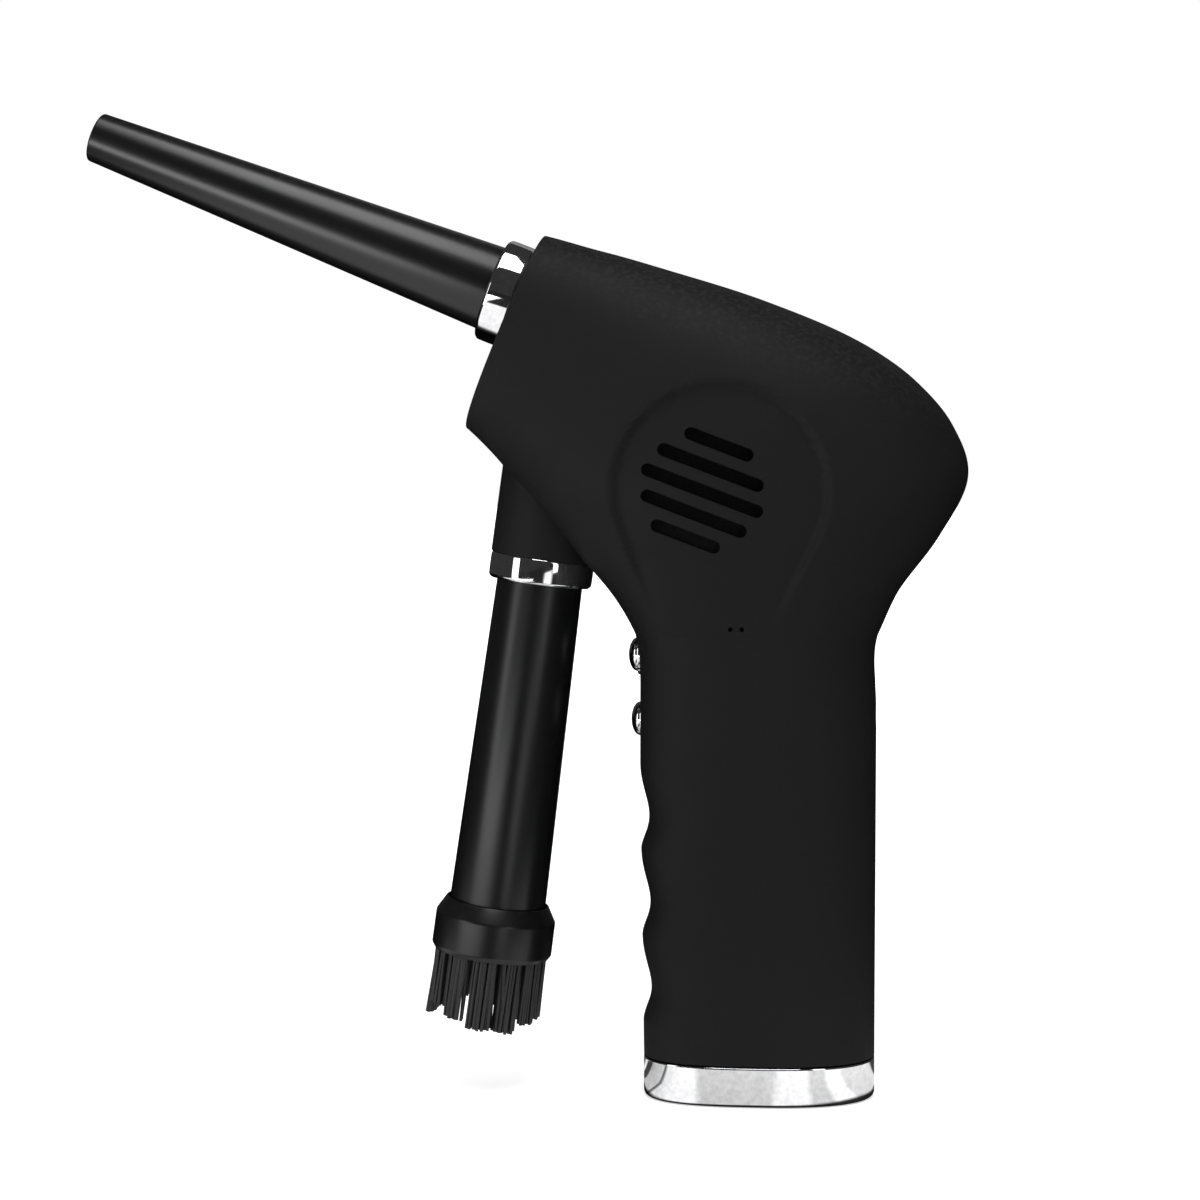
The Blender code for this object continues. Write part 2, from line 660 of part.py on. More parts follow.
def socket_recess():
    """The upright opening over the charging socket, through the back of the grip."""
    spread = SOCKET_HEIGHT - SOCKET_THICKNESS
    outline = obround((0, NECK - SOCKET_DROP), spread, SOCKET_THICKNESS / 2 + RECESS_MARGIN, math.pi / 2)
    return prism("recess", outline, -GRIP_DEPTH, -GRIP_DEPTH / 2 + 2 * WALL, FORWARD)


def button_frame(rise):
    """Z points out of the grip's front, from the middle of the grip at a button's height."""
    return Matrix.Translation((0, 0, UPPER_HOLDER_TOP + rise)) @ FORWARD


def button_bores():
    """A bore for each button's cap, and behind the wall a flat, wider seat for its flange."""
    bores = []
    bore = BUTTON_DIAMETER / 2 + BUTTON_PLAY
    seat = BUTTON_DIAMETER / 2 + BUTTON_FLANGE + FIT
    for rise, bulge in BUTTON_PLACES.values():
        wall = GRIP_DEPTH / 2 + bulge - WALL
        foot = GRIP_DEPTH / 4
        profile = ((0, foot), (seat, foot), (seat, wall), (bore, wall), (bore, GRIP_DEPTH), (0, GRIP_DEPTH))
        bores.append(turned("bore", profile, button_frame(rise), 20))
    return bores


def pinhole_cutters():
    """Two pinholes on the left side only, below the vents."""
    cutters = []
    for x in PINHOLE_X:
        place = Matrix.Translation((x, 0, NECK + PINHOLE_RISE)) @ SIDE
        cutters.append(cylinder("pinhole", PINHOLE_DIAMETER / 2, WALL, PIVOT_REACH, place, TINY_ROUND_POINTS))
    return cutters


def side_column(name, x, height, radius, low, high, segments=SMALL_ROUND_POINTS):
    """A round column across the housing; low and high are measured towards the left side."""
    return cylinder(name, radius, low, high, Matrix.Translation((x, 0, height)) @ SIDE, segments)


def guide_ribs(side):
    """Four ribs that hold the edge of the switch board, as Y reaches from the wall to over its edge."""
    edge = SWITCH_BOARD_WIDTH / 2 - GUIDE_GRIP
    foot = UPPER_HOLDER_TOP + FIT
    top = foot + BOARD_HEIGHT
    front = SWITCH_BOARD_X - FIT
    back = SWITCH_BOARD_X + BOARD_THICKNESS + FIT
    ribs = []
    for low in (front - GUIDE_RIB, back):
        corners = sorted((side * edge, side * GRIP_WIDTH / 2))
        ribs.append(box("rib", (low, corners[0], foot), (low + GUIDE_RIB, corners[1], top)))
    return ribs


def fan_posts(side):
    """Posts that reach from the housing wall to the scroll and hold it."""
    low, high = SCROLL_WIDTH / 2 + FIT, PIVOT_REACH / 2
    posts = []
    for x, y in POST_PLACES:
        frame = FAN @ Matrix.Translation((x * MM, y * MM, 0))
        ends = (low, high) if side < 0 else (-high, -low)
        posts.append(cylinder("post", POST_RADIUS, *ends, frame, SMALL_ROUND_POINTS))
    return posts


def foot_boss(side):
    """The boss for the foot screw, on the housing's inner wall."""
    frame = Matrix.Translation((CELL_SHIFT, side * FOOT_SCREW_SPREAD, 0))
    foot = SPIGOT_FOOT + FIT
    return cylinder("boss", BOSS_RADIUS, foot, foot + FOOT_SCREW_LENGTH, frame, SMALL_ROUND_POINTS)


def left_features():
    features = [foot_boss(-1), *guide_ribs(-1), *fan_posts(-1)]
    for x, rise in HOUSING_SCREWS.values():
        features.append(side_column("boss", x * MM, NECK + rise * MM, BOSS_RADIUS, SEAM, PIVOT_REACH))
    return features


def right_features():
    features = [foot_boss(1), *guide_ribs(1), *fan_posts(1)]
    for x, rise in HOUSING_SCREWS.values():
        features.append(side_column("boss", x * MM, NECK + rise * MM, BOSS_RADIUS, -PIVOT_REACH, -SEAM))
    stand = CONTROL_BOARD_Y + BOARD_THICKNESS + FIT
    for x, z in BOARD_SCREWS.values():
        features.append(side_column("stand", x, z, POST_RADIUS, -PIVOT_REACH, -stand))
    return features


def screw_holes(side):
    """Pilot holes on the left, clearance holes and head wells on the right."""
    pilot = SCREW_SHANK_RADIUS + SCREW_PLAY
    well = SCREW_HEAD_RADIUS + SCREW_PLAY
    holes = []
    for x, rise in HOUSING_SCREWS.values():
        place = (x * MM, NECK + rise * MM)
        if side < 0:
            depth = SCREW_LENGTH - SCREW_SEAT_Y + FIT
            holes.append(side_column("pilot", *place, pilot, -WALL, depth))
        else:
            holes.append(side_column("clearance", *place, pilot, -SCREW_SEAT_Y - WALL, WALL))
            holes.append(side_column("well", *place, well, -PIVOT_REACH, -SCREW_SEAT_Y))
    frame = Matrix.Translation((CELL_SHIFT, side * FOOT_SCREW_SPREAD, 0))
    holes.append(cylinder("pilot", pilot, 0, FOOT_SCREW_LENGTH + FIT, frame, SMALL_ROUND_POINTS))
    if side > 0:
        stand = CONTROL_BOARD_Y + BOARD_THICKNESS
        for x, z in BOARD_SCREWS.values():
            end = CONTROL_BOARD_Y + BOARD_SCREW_LENGTH + FIT
            holes.append(side_column("pilot", x, z, pilot, -end, -stand))
    return holes


def housing_half(side):
    """One half: the hollowed form, then its bosses and ribs trimmed to the outside form, then the holes."""
    reach = 2 * PIVOT_REACH
    edges = sorted((side * SEAM / 2, -side * reach))
    other_side = box("other_side", (-reach, edges[0], -reach), (reach, edges[1], 2 * reach))
    half = join(outer_body(), branch())
    openings = (*port_cutters(), *vent_cutters(), socket_recess(), *button_bores())
    cut(half, other_side, shield_cutter(), inner_space(), *openings)
    features = left_features() if side < 0 else right_features()
    join(half, *[keep_inside(feature, envelope_body()) for feature in features])
    return cut(half, *screw_holes(side))


def envelope_body():
    """The outside form half a wall further in: where bosses and ribs may reach."""
    rings = [
        grip_ring(SPIGOT_FOOT, RING_WALL + FIT + WALL / 2),
        grip_ring(SHELL_FOOT + WALL, RING_WALL + FIT + WALL / 2),
        grip_ring(SHELL_FOOT + 2 * WALL, WALL / 2, GROOVE_DEPTH),
        grip_ring(NECK - GROOVE_TOP, WALL / 2, GROOVE_DEPTH),
        grip_ring(NECK - GROOVE_TOP / 2, WALL / 2),
    ]
    return loft("envelope", rings + head_rings(WALL / 2, WALL / 2, steps=1))


def build_housing(look):
    finish(cut(housing_half(-1), *pinhole_cutters()), "left_housing", look)
    finish(housing_half(1), "right_housing", look)


# ---------------------------------------------------------------- foot


def build_foot(chrome, plastic, steel):
    rings = [
        grip_ring(0.0, RING_EDGE),
        grip_ring(RING_EDGE, 0.0),
        grip_ring(RING_HEIGHT - RING_EDGE / 2, 0.0),
        grip_ring(RING_HEIGHT, RING_EDGE / 2),
        grip_ring(RING_HEIGHT, RING_WALL),
        grip_ring(0.0, RING_WALL),
    ]
    finish(loft("ring", rings, closed=True), "base_ring", chrome)
    inset = RING_WALL + FIT
    plate = loft("plate", [grip_ring(0.0, inset), grip_ring(FOOT_PLATE, inset)])
    for side in (-1, 1):
        frame = Matrix.Translation((CELL_SHIFT, side * FOOT_SCREW_SPREAD, 0))
        shank = SCREW_SHANK_RADIUS + SCREW_PLAY
        head = SCREW_HEAD_RADIUS + SCREW_PLAY
        seat = FOOT_PLATE / 2
        through = 2 * FOOT_PLATE
        profile = ((0, -FIT), (head, -FIT), (head, seat), (shank, seat), (shank, through), (0, through))
        cut(plate, turned("hole", profile, frame, SMALL_ROUND_POINTS))
        name = "base_screw_left" if side < 0 else "base_screw_right"
        screw(name, frame, seat - FIT, FOOT_SCREW_LENGTH, steel, head_height=seat - 2 * FIT)
    finish(plate, "base_plate", plastic)


def screw(name, frame, seat, length, look, head_height=SCREW_HEAD_HEIGHT):
    """A pan-head screw that goes up the frame's Z axis, its head's upper face at seat."""
    head = seat - head_height
    drive = SCREW_SHANK_RADIUS / 2
    profile = (
        (0, head + drive), (drive, head + drive), (drive, head),
        (SCREW_HEAD_RADIUS - SCREW_HEAD_EDGE, head), (SCREW_HEAD_RADIUS, head + SCREW_HEAD_EDGE / 2),
        (SCREW_HEAD_RADIUS, seat), (SCREW_SHANK_RADIUS, seat),
        (SCREW_SHANK_RADIUS, length - SCREW_SHANK_RADIUS), (0, length),
    )
    finish(turned(name, profile, frame, TINY_ROUND_POINTS), name, look)


def build_housing_screws(steel):
    """Five screws from the right side into the left half's bosses."""
    for place, (x, rise) in HOUSING_SCREWS.items():
        frame = Matrix.Translation((x * MM, 0, NECK + rise * MM)) @ SIDE
        seat = -SCREW_SEAT_Y - FIT
        screw("housing_screw_" + place, frame, seat, SCREW_LENGTH - SCREW_SEAT_Y, steel)


# ---------------------------------------------------------------- ports, nozzle and brush


def port_ring(name, frame, look):
    """A chrome ring: a rounded collar outside the port and a sleeve that seats in the housing's bore."""
    outside = PORT_RING_DIAMETER / 2
    seat = NOZZLE_ROOT_DIAMETER / 2 + 2 * FIT
    if frame is LOWER_PORT:
        seat = TUBE_TOP_DIAMETER / 2 + 2 * FIT
    profile = rounded_end(outside, -PORT_RING_LENGTH + FIT, 0.0, PORT_RING_EDGE)
    profile += [
        (seat, 0.0), (seat, -PORT_SEAT_DEPTH), (SPIGOT_BORE_RADIUS, -PORT_SEAT_DEPTH),
        (SPIGOT_BORE_RADIUS, -DUCT_START + FIT), (PORT_SLEEVE_RADIUS, -DUCT_START + FIT),
        (PORT_SLEEVE_RADIUS, -PORT_RING_LENGTH + FIT),
    ]
    finish(turned(name, profile, frame), name, look)


def spigot_profile(root):
    """Outer side of a push-in spigot, with its seal's groove, from the deep end out to the root."""
    radius = SPIGOT_DIAMETER / 2
    groove = radius - SEAL_DIAMETER + FIT
    half = SEAL_DIAMETER / 2 + FIT / 2
    return [
        (radius - FIT, -SPIGOT_LENGTH), (radius, -SPIGOT_LENGTH + 2 * FIT), (radius, -SEAL_PLACE - half),
        (groove, -SEAL_PLACE - half), (groove, -SEAL_PLACE + half),
        (radius, -SEAL_PLACE + half), (radius, root),
    ]


def seal(name, frame, look):
    """A rubber O-ring in the spigot's groove."""
    centre = (SPIGOT_DIAMETER / 2 - SEAL_DIAMETER + FIT + SPIGOT_BORE_RADIUS) / 2
    radius = SEAL_DIAMETER / 2 - FIT / 2
    profile = [(x, y - SEAL_PLACE) for x, y in arc((centre, 0), radius, 0, math.tau * 4 / 5, 4)]
    finish(turned(name, profile, frame, 20), name, look)


def build_nozzle(look, rubber):
    """A long hollow cone with a rolled rim, ahead of its spigot."""
    root = NOZZLE_ROOT_DIAMETER / 2
    tip = NOZZLE_TIP_DIAMETER / 2
    shoulder = -PORT_SEAT_DEPTH + FIT
    lip = NOZZLE_WALL / 2
    halfway = lip * (1 - math.cos(math.pi / 4))  # along the rim's quarter circle
    bore = SPIGOT_DIAMETER / 2 - SPIGOT_WALL
    profile = spigot_profile(shoulder)
    profile += [(root, shoulder), (root, 0.0)]
    profile += [(tip, NOZZLE_LENGTH - lip), (tip - halfway, NOZZLE_LENGTH - halfway)]
    profile += [(tip - lip, NOZZLE_LENGTH), (tip - NOZZLE_WALL, NOZZLE_LENGTH - lip)]
    profile += [(bore, 0.0), (bore, -SPIGOT_LENGTH)]
    finish(turned("nozzle", profile, FRONT_PORT), "nozzle", look)
    seal("nozzle_seal", FRONT_PORT, rubber)


def build_brush(look, bristle_look, rubber):
    """The flared tube, the collar on its end and the ring of bristle tufts."""
    top = TUBE_TOP_DIAMETER / 2
    end = TUBE_END_DIAMETER / 2
    shoulder = -PORT_SEAT_DEPTH + FIT
    bore = SPIGOT_DIAMETER / 2 - SPIGOT_WALL
    profile = spigot_profile(shoulder)
    profile += [(top, shoulder), (top, 0.0), (end, TUBE_LENGTH), (end - TUBE_WALL, TUBE_LENGTH)]
    profile += [(top - TUBE_WALL - FIT, SPIGOT_LENGTH), (bore, 0.0), (bore, -SPIGOT_LENGTH)]
    finish(turned("brush_tube", profile, LOWER_PORT), "brush_tube", look)
    seal("brush_seal", LOWER_PORT, rubber)

    start = TUBE_LENGTH - COLLAR_OVERLAP
    stop = start + COLLAR_LENGTH
    outside = COLLAR_DIAMETER / 2
    seat = end + FIT
    groove_out = outside - COLLAR_LIP
    groove_in = groove_out - BRISTLE_GROOVE
    inside = groove_in - COLLAR_LIP
    groove_top = stop - BRISTLE_ROOT
    profile = [
        (seat, start), (seat + FIT, start), (outside, start + COLLAR_CHAMFER), (outside, stop - COLLAR_LIP),
        (outside - COLLAR_LIP / 2, stop), (groove_out, stop), (groove_out, groove_top),
        (groove_in, groove_top),
        (groove_in, stop), (inside, stop), (inside, TUBE_LENGTH + FIT), (seat, TUBE_LENGTH + FIT),
    ]
    finish(turned("brush_collar", profile, LOWER_PORT), "brush_collar", look)
    bristles(groove_in + FIT, groove_out - FIT, groove_top + FIT, stop, bristle_look)


def bristles(inner, outer, root, collar_end, look):
    """Tufts on a common root ring. A fixed rule varies their lengths, so the brush's end is ragged."""
    ring = tube("bristles", outer, inner, root, collar_end - FIT, LOWER_PORT, TUFT_COUNT)
    middle = (inner + outer) / 2
    half = (outer - inner) / 2
    shape = bmesh.new()
    for k in range(TUFT_COUNT):
        angle = math.tau * (k + 0.25) / TUFT_COUNT
        ragged = 0.5 + 0.5 * math.sin(5.0 * angle + 1.0) * math.cos(3.0 * angle)
        length = BRISTLE_LENGTH * (1 - TUFT_RAGGEDNESS * (1 - ragged))
        out = Vector((math.cos(angle), math.sin(angle), 0))
        side = Vector((-math.sin(angle), math.cos(angle), 0))
        width = math.pi * middle / TUFT_COUNT * TUFT_FILL
        rows = []
        for height, spread, size in ((root + FIT, 0.0, 0.8), (collar_end + length, BRISTLE_SPLAY, 0.92)):
            centre = out * (middle + spread) + Vector((0, 0, height))
            across, along = out * half * size, side * width * size
            rows.append([
                shape.verts.new(centre + across * math.cos(turn) + along * math.sin(turn))
                for turn in (math.tau * (n + 0.5) / TUFT_SIDES for n in range(TUFT_SIDES))
            ])
        shape.faces.new(rows[0])
        shape.faces.new(rows[1])
        for n in range(TUFT_SIDES):
            shape.faces.new((rows[0][n], rows[0][n - 1], rows[1][n - 1], rows[1][n]))
    finish(join(ring, add_object("tufts", shape, LOWER_PORT)), "bristles", look)


# ---------------------------------------------------------------- air duct and fan


def build_manifold(look):
    """The duct that leads the fan's air to both ports."""
    main_low, main_high = -DUCT_END, -DUCT_START
    square = OUTLET_WIDTH / 2 + FLANGE_MARGIN
    depth = meeting_depth()
    duct = cylinder("duct", DUCT_RADIUS, main_low, main_high, FRONT_PORT)
    join(duct, cylinder("leg", DUCT_RADIUS, depth, -DUCT_START, LOWER_PORT))
    flange_top = main_low + FLANGE_THICKNESS
    flange = box("flange", (-square, -square, main_low), (square, square, flange_top), FRONT_PORT)
    join(duct, flange)
    bore = SPIGOT_BORE_RADIUS
    cut(duct, cylinder("bore", bore, main_low - WALL, main_high + WALL, FRONT_PORT))
    cut(duct, cylinder("bore", bore, depth, -DUCT_START + WALL, LOWER_PORT))
    finish(duct, "air_manifold", look)


def meeting_depth():
    """Where the two port axes meet, as a height in the lower port's frame."""
    along = FRONT_PORT.to_3x3() @ Vector((0, 0, 1))
    down = LOWER_PORT.to_3x3() @ Vector((0, 0, 1))
    apart = FRONT_PORT.translation - LOWER_PORT.translation
    return (apart.x * along.z - apart.z * along.x) / (down.x * along.z - down.z * along.x)


def scroll_radius(turn):
    """Inner radius of the scroll, growing evenly with the turn from the outlet side round to the outlet."""
    return SCROLL_NARROW + (SCROLL_WIDE - SCROLL_NARROW) * turn / math.tau


def scroll_outline(wall, reach, steps=30):
    """The scroll's outline in the fan's frame, wall outside the air path, with the outlet channel to -X."""
    floor = OUTLET_CENTRE - OUTLET_WIDTH / 2 - wall
    top = SCROLL_WIDE + wall
    first = math.radians(50)
    while (scroll_radius(first) + wall) * math.cos(first) > floor:
        first += math.radians(1)
    outline = [(reach, floor), (reach, top)]
    for k in range(steps + 1):
        turn = math.tau + (first - math.tau) * k / steps
        radius = scroll_radius(turn) + wall
        outline.append((-radius * math.sin(turn), radius * math.cos(turn)))
    return outline


def build_scroll(look):
    half = SCROLL_WIDTH / 2
    floor = -half + SCROLL_WALL
    cover_foot = half - SCROLL_WALL
    base = prism("base", scroll_outline(SCROLL_WALL, OUTLET_FACE), -half, cover_foot - FIT, FAN)
    cut(base, prism("air", scroll_outline(0.0, OUTLET_FACE - WALL), floor, half, FAN))
    tube_end = floor + BEARING_TUBE_LENGTH
    join(base, cylinder("tube", BEARING_TUBE_RADIUS, -half + SCROLL_WALL / 2, tube_end, FAN, 24))
    cut(base, cylinder("bore", BEARING_RADIUS + FIT, floor, half, FAN, 24))
    for k in range(3):
        start = math.tau * k / 3 + math.radians(12)
        stop = math.tau * (k + 1) / 3 - math.radians(12)
        outline = arc((0, 0), HUB_RADIUS - HUB_WALL, start, stop, 8)
        outline += arc((0, 0), BEARING_TUBE_RADIUS + HUB_WALL, stop, start, 6)
        cut(base, prism("window", outline, -half - WALL, floor + FIT, FAN))
    finish(base, "scroll_base", look)

    cover = prism("cover", scroll_outline(SCROLL_WALL, OUTLET_FACE), cover_foot, half, FAN)
    join(cover, cylinder("mouth", EYE_RADIUS + SCROLL_WALL, cover_foot + FIT, half + SCROLL_WALL, FAN))
    flare = EYE_RADIUS + SCROLL_WALL / 2
    above = half + SCROLL_WALL + FIT
    eye = ((0, 0), (EYE_RADIUS, 0), (EYE_RADIUS, half), (flare, above), (0, above))
    cut(cover, turned("eye", eye, FAN))
    finish(cover, "scroll_cover", look)


def blade(angle, low, high):
    """A backward-swept blade: r runs from root to rim while the angle falls behind by the sweep."""
    steps = 3
    leading, trailing = [], []
    for k in range(steps + 1):
        share = k / steps
        radius = BLADE_ROOT_RADIUS + (WHEEL_RADIUS - FIT - BLADE_ROOT_RADIUS) * share
        turn = angle - BLADE_SWEEP * share ** BLADE_CURL
        half = BLADE_THICKNESS / 2 / radius
        leading.append((radius * math.cos(turn + half), radius * math.sin(turn + half)))
        trailing.append((radius * math.cos(turn - half), radius * math.sin(turn - half)))
    return prism("blade", leading + trailing[::-1], low, high, FAN)


def build_rotor(plastic, magnet_look, steel):
    """The wheel turns about the fan's Z axis: back plate, hub cup, swept blades and front shroud."""
    half = SCROLL_WIDTH / 2 - SCROLL_WALL - WHEEL_PLAY
    hub_top = -half + HUB_LENGTH
    shaft_hole = SHAFT_RADIUS + FIT
    profile = (
        (HUB_RADIUS - HUB_WALL, -half), (WHEEL_RADIUS, -half), (WHEEL_RADIUS, -half + WHEEL_PLATE),
        (HUB_RADIUS, -half + WHEEL_PLATE), (HUB_RADIUS, hub_top - HUB_WALL), (HUB_RADIUS - HUB_WALL, hub_top),
        (shaft_hole, hub_top), (shaft_hole, hub_top - HUB_END),
        (HUB_RADIUS - HUB_WALL, hub_top - HUB_END),
    )
    wheel = turned("wheel", profile, FAN)
    shroud_foot = half - WHEEL_PLATE
    blades = [
        blade(math.tau * k / BLADE_COUNT, -half + WHEEL_PLATE / 2, half - WHEEL_PLATE / 2)
        for k in range(BLADE_COUNT)
    ]
    inner = (BLADE_ROOT_RADIUS + WHEEL_RADIUS) / 2
    join(wheel, tube("shroud", WHEEL_RADIUS, inner, shroud_foot, half, FAN), *blades)
    finish(wheel, "impeller", plastic)

    outer = HUB_RADIUS - HUB_WALL - FIT
    top = hub_top - HUB_END - FIT
    magnet = tube("magnet", outer, outer - MAGNET_THICKNESS, -half + 2 * FIT, top, FAN)
    finish(magnet, "rotor_magnet", magnet_look)
    floor = -SCROLL_WIDTH / 2 + SCROLL_WALL
    end = hub_top + FIT
    point = SHAFT_RADIUS * 0.7
    profile = (
        (0, floor + FIT), (point, floor + FIT), (SHAFT_RADIUS, floor + 2 * FIT),
        (SHAFT_RADIUS, end - FIT), (point, end), (0, end),
    )
    finish(turned("shaft", profile, FAN, 16), "motor_shaft", steel)


def build_stator(iron, copper, steel):
    """Six poles on a ring round the bearing tube, a coil on each pole, and two bearings inside the tube."""
    floor = -SCROLL_WIDTH / 2 + SCROLL_WALL
    low = floor + STATOR_RISE
    high = low + STATOR_LENGTH
    inner = BEARING_TUBE_RADIUS + FIT
    ring = inner + POLE_TIP
    tip = HUB_RADIUS - HUB_WALL - FIT - MAGNET_THICKNESS - AIR_GAP
    core = tube("core", ring, inner, low, high, FAN, 36)
    neck = POLE_NECK / 2
    spread = math.radians(22)
    for k in range(POLE_COUNT):
        turned_frame = FAN @ Matrix.Rotation(math.tau * k / POLE_COUNT, 4, "Z")
        head = arc((0, 0), tip, -spread, spread, 4) + arc((0, 0), tip - POLE_TIP, spread, -spread, 4)
        pole = box("pole", (ring - POLE_TIP / 2, -neck, low), (tip - POLE_TIP / 2, neck, high), turned_frame)
        join(core, join(pole, prism("head", head, low, high, turned_frame)))
    finish(core, "stator_core", iron)
    coil_in, coil_out = ring + FIT, tip - POLE_TIP - FIT
    middle = (coil_in + coil_out) / 2
    half_width, half_height = neck + SCREW_PLAY, STATOR_LENGTH / 2 + SCREW_PLAY
    on_pole = Matrix.Translation((middle, 0, (low + high) / 2))
    for k in range(POLE_COUNT):
        place = Matrix.Rotation(math.tau * k / POLE_COUNT, 4, "Z") @ on_pole
        coil(f"coil_{k + 1}", FAN @ place, coil_out - coil_in, half_width, half_height, copper)
    bearing("rear_bearing", floor + 2 * FIT, steel)
    bearing("front_bearing", floor + BEARING_TUBE_LENGTH - BEARING_WIDTH, steel)


def coil(name, frame, length, half_width, half_height, look):
    """A square winding round one pole: a closed loop with its axis along the frame's X."""
    thick = POLE_NECK * 0.3
    outer = box("coil", (-length / 2, -half_width - thick, -half_height - thick),
                (length / 2, half_width + thick, half_height + thick), frame)
    hole = box("hole", (-length, -half_width, -half_height), (length, half_width, half_height), frame)
    finish(cut(soften(outer, thick / 2), hole), name, look)


def bearing(name, start, look):
    """A small ball bearing as a closed ring, with a shallow groove between its two races on the open side."""
    bore = SHAFT_RADIUS + SCREW_PLAY
    stop = start + BEARING_WIDTH
    race = (BEARING_RADIUS - bore) / 3
    shield = stop - SCREW_PLAY
    profile = (
        (bore, start), (BEARING_RADIUS, start), (BEARING_RADIUS, stop), (BEARING_RADIUS - race, stop),
        (BEARING_RADIUS - race, shield), (bore + race, shield), (bore + race, stop), (bore, stop),
    )
    finish(turned(name, profile, FAN, 14), name, look)


def build_filters(look):
    """A foam disc behind each set of vents."""
    outer = FAN_BAY_HALF_WIDTH - FIT
    for name, ends in (
        ("intake_filter_left", (outer - FILTER_THICKNESS, outer)),
        ("intake_filter_right", (-outer, -outer + FILTER_THICKNESS)),
    ):
        finish(side_column(name, VENT_X, NECK + VENT_RISE, FILTER_RADIUS, *ends, ROUND_POINTS), name, look)


# ---------------------------------------------------------------- cells, boards and buttons


def cell_centres():
    half = (CELL_DIAMETER + CELL_SPACING) / 2
    return {"front": CELL_SHIFT - half, "rear": CELL_SHIFT + half}


def build_cells(look, holder_look):
    """Two round cells, upright side by side, between a lower and an upper holder."""
    inset = WALL + FIT + GROOVE_DEPTH
    low_inset = WALL + RING_WALL + 2 * FIT
    lower_top = CELL_FOOT + HOLDER_CUP
    lower = loft("lower", [grip_ring(FOOT_PLATE + FIT, low_inset), grip_ring(lower_top, low_inset)])
    upper = loft("upper", [grip_ring(CELL_TOP - HOLDER_CUP, inset), grip_ring(UPPER_HOLDER_TOP, inset)])
    for name, x in cell_centres().items():
        frame = Matrix.Translation((x, 0, 0))
        radius = CELL_DIAMETER / 2
        cap = CELL_CAP_DIAMETER / 2
        shoulder = CELL_TOP - CELL_CAP_HEIGHT
        profile = (
            (0, CELL_FOOT), (radius - CELL_EDGE, CELL_FOOT), (radius, CELL_FOOT + CELL_EDGE),
            (radius, shoulder - CELL_EDGE), (radius - CELL_EDGE, shoulder), (cap, shoulder),
            (cap, CELL_TOP), (0, CELL_TOP),
        )
        finish(turned("cell", profile, frame, 20), "cell_" + name, look)
        cup = radius + FIT
        cut(lower, cylinder("cup", cup, CELL_FOOT - FIT, NECK, frame))
        cut(upper, cylinder("cup", cup, 0, CELL_TOP + FIT, frame))
    for side in (-1, 1):
        frame = Matrix.Translation((CELL_SHIFT, side * FOOT_SCREW_SPREAD, 0))
        cut(lower, cylinder("boss", BOSS_RADIUS + FIT, 0, NECK, frame, SMALL_ROUND_POINTS))
    window = HOLDER_CUP
    cut(upper, box("lead_way", (CELL_SHIFT - window, -window, 0), (CELL_SHIFT + window, window, NECK)))
    finish(lower, "cell_holder_bottom", holder_look)
    finish(upper, "cell_holder_top", holder_look)


def build_boards(green, tin):
    foot = UPPER_HOLDER_TOP + FIT
    top = foot + BOARD_HEIGHT
    half = SWITCH_BOARD_WIDTH / 2
    back = SWITCH_BOARD_X + BOARD_THICKNESS
    finish(box("board", (SWITCH_BOARD_X, -half, foot), (back, half, top)), "switch_board", green)
    far_face = CONTROL_BOARD_Y + BOARD_THICKNESS
    board = box("board", (CONTROL_BOARD_FRONT, CONTROL_BOARD_Y, foot), (CONTROL_BOARD_BACK, far_face, top))
    hole = SCREW_SHANK_RADIUS + SCREW_PLAY
    for x, z in BOARD_SCREWS.values():
        cut(board, side_column("hole", x, z, hole, -CONTROL_BOARD_Y * 3, 0))
    finish(board, "control_board", green)
    for name, (x, z) in BOARD_SCREWS.items():
        frame = Matrix.Translation((x, 0, z)) @ SIDE @ Matrix.Rotation(math.pi, 4, "X")
        screw("board_screw_" + name, frame, CONTROL_BOARD_Y - FIT, CONTROL_BOARD_Y + BOARD_SCREW_LENGTH, tin,
              SCREW_HEAD_HEIGHT * 0.7)
    build_socket(tin)


def build_socket(look):
    """An upright charging socket on the control board: an obround shell with a contact tongue inside."""
    half = SOCKET_THICKNESS / 2
    spread = SOCKET_HEIGHT - SOCKET_THICKNESS
    inner_face = GRIP_DEPTH / 2 - WALL - FIT
    y = CONTROL_BOARD_Y - FIT - half
    place = Matrix.Translation((0, y, NECK - SOCKET_DROP)) @ FORWARD
    wall = SOCKET_THICKNESS / 10
    back = -inner_face + SOCKET_LENGTH
    shell = prism("socket", obround((0, 0), spread, half, math.pi / 2), -inner_face, back, place)
    mouth = obround((0, 0), spread, half - wall, math.pi / 2)
    cut(shell, prism("mouth", mouth, -GRIP_DEPTH, back - 2 * wall, place))
    tongue_low = (-wall, -spread / 2, -inner_face + 2 * wall)
    tongue = box("tongue", tongue_low, (wall, spread / 2, back - wall), place)
    finish(join(shell, tongue), "charging_socket", look)


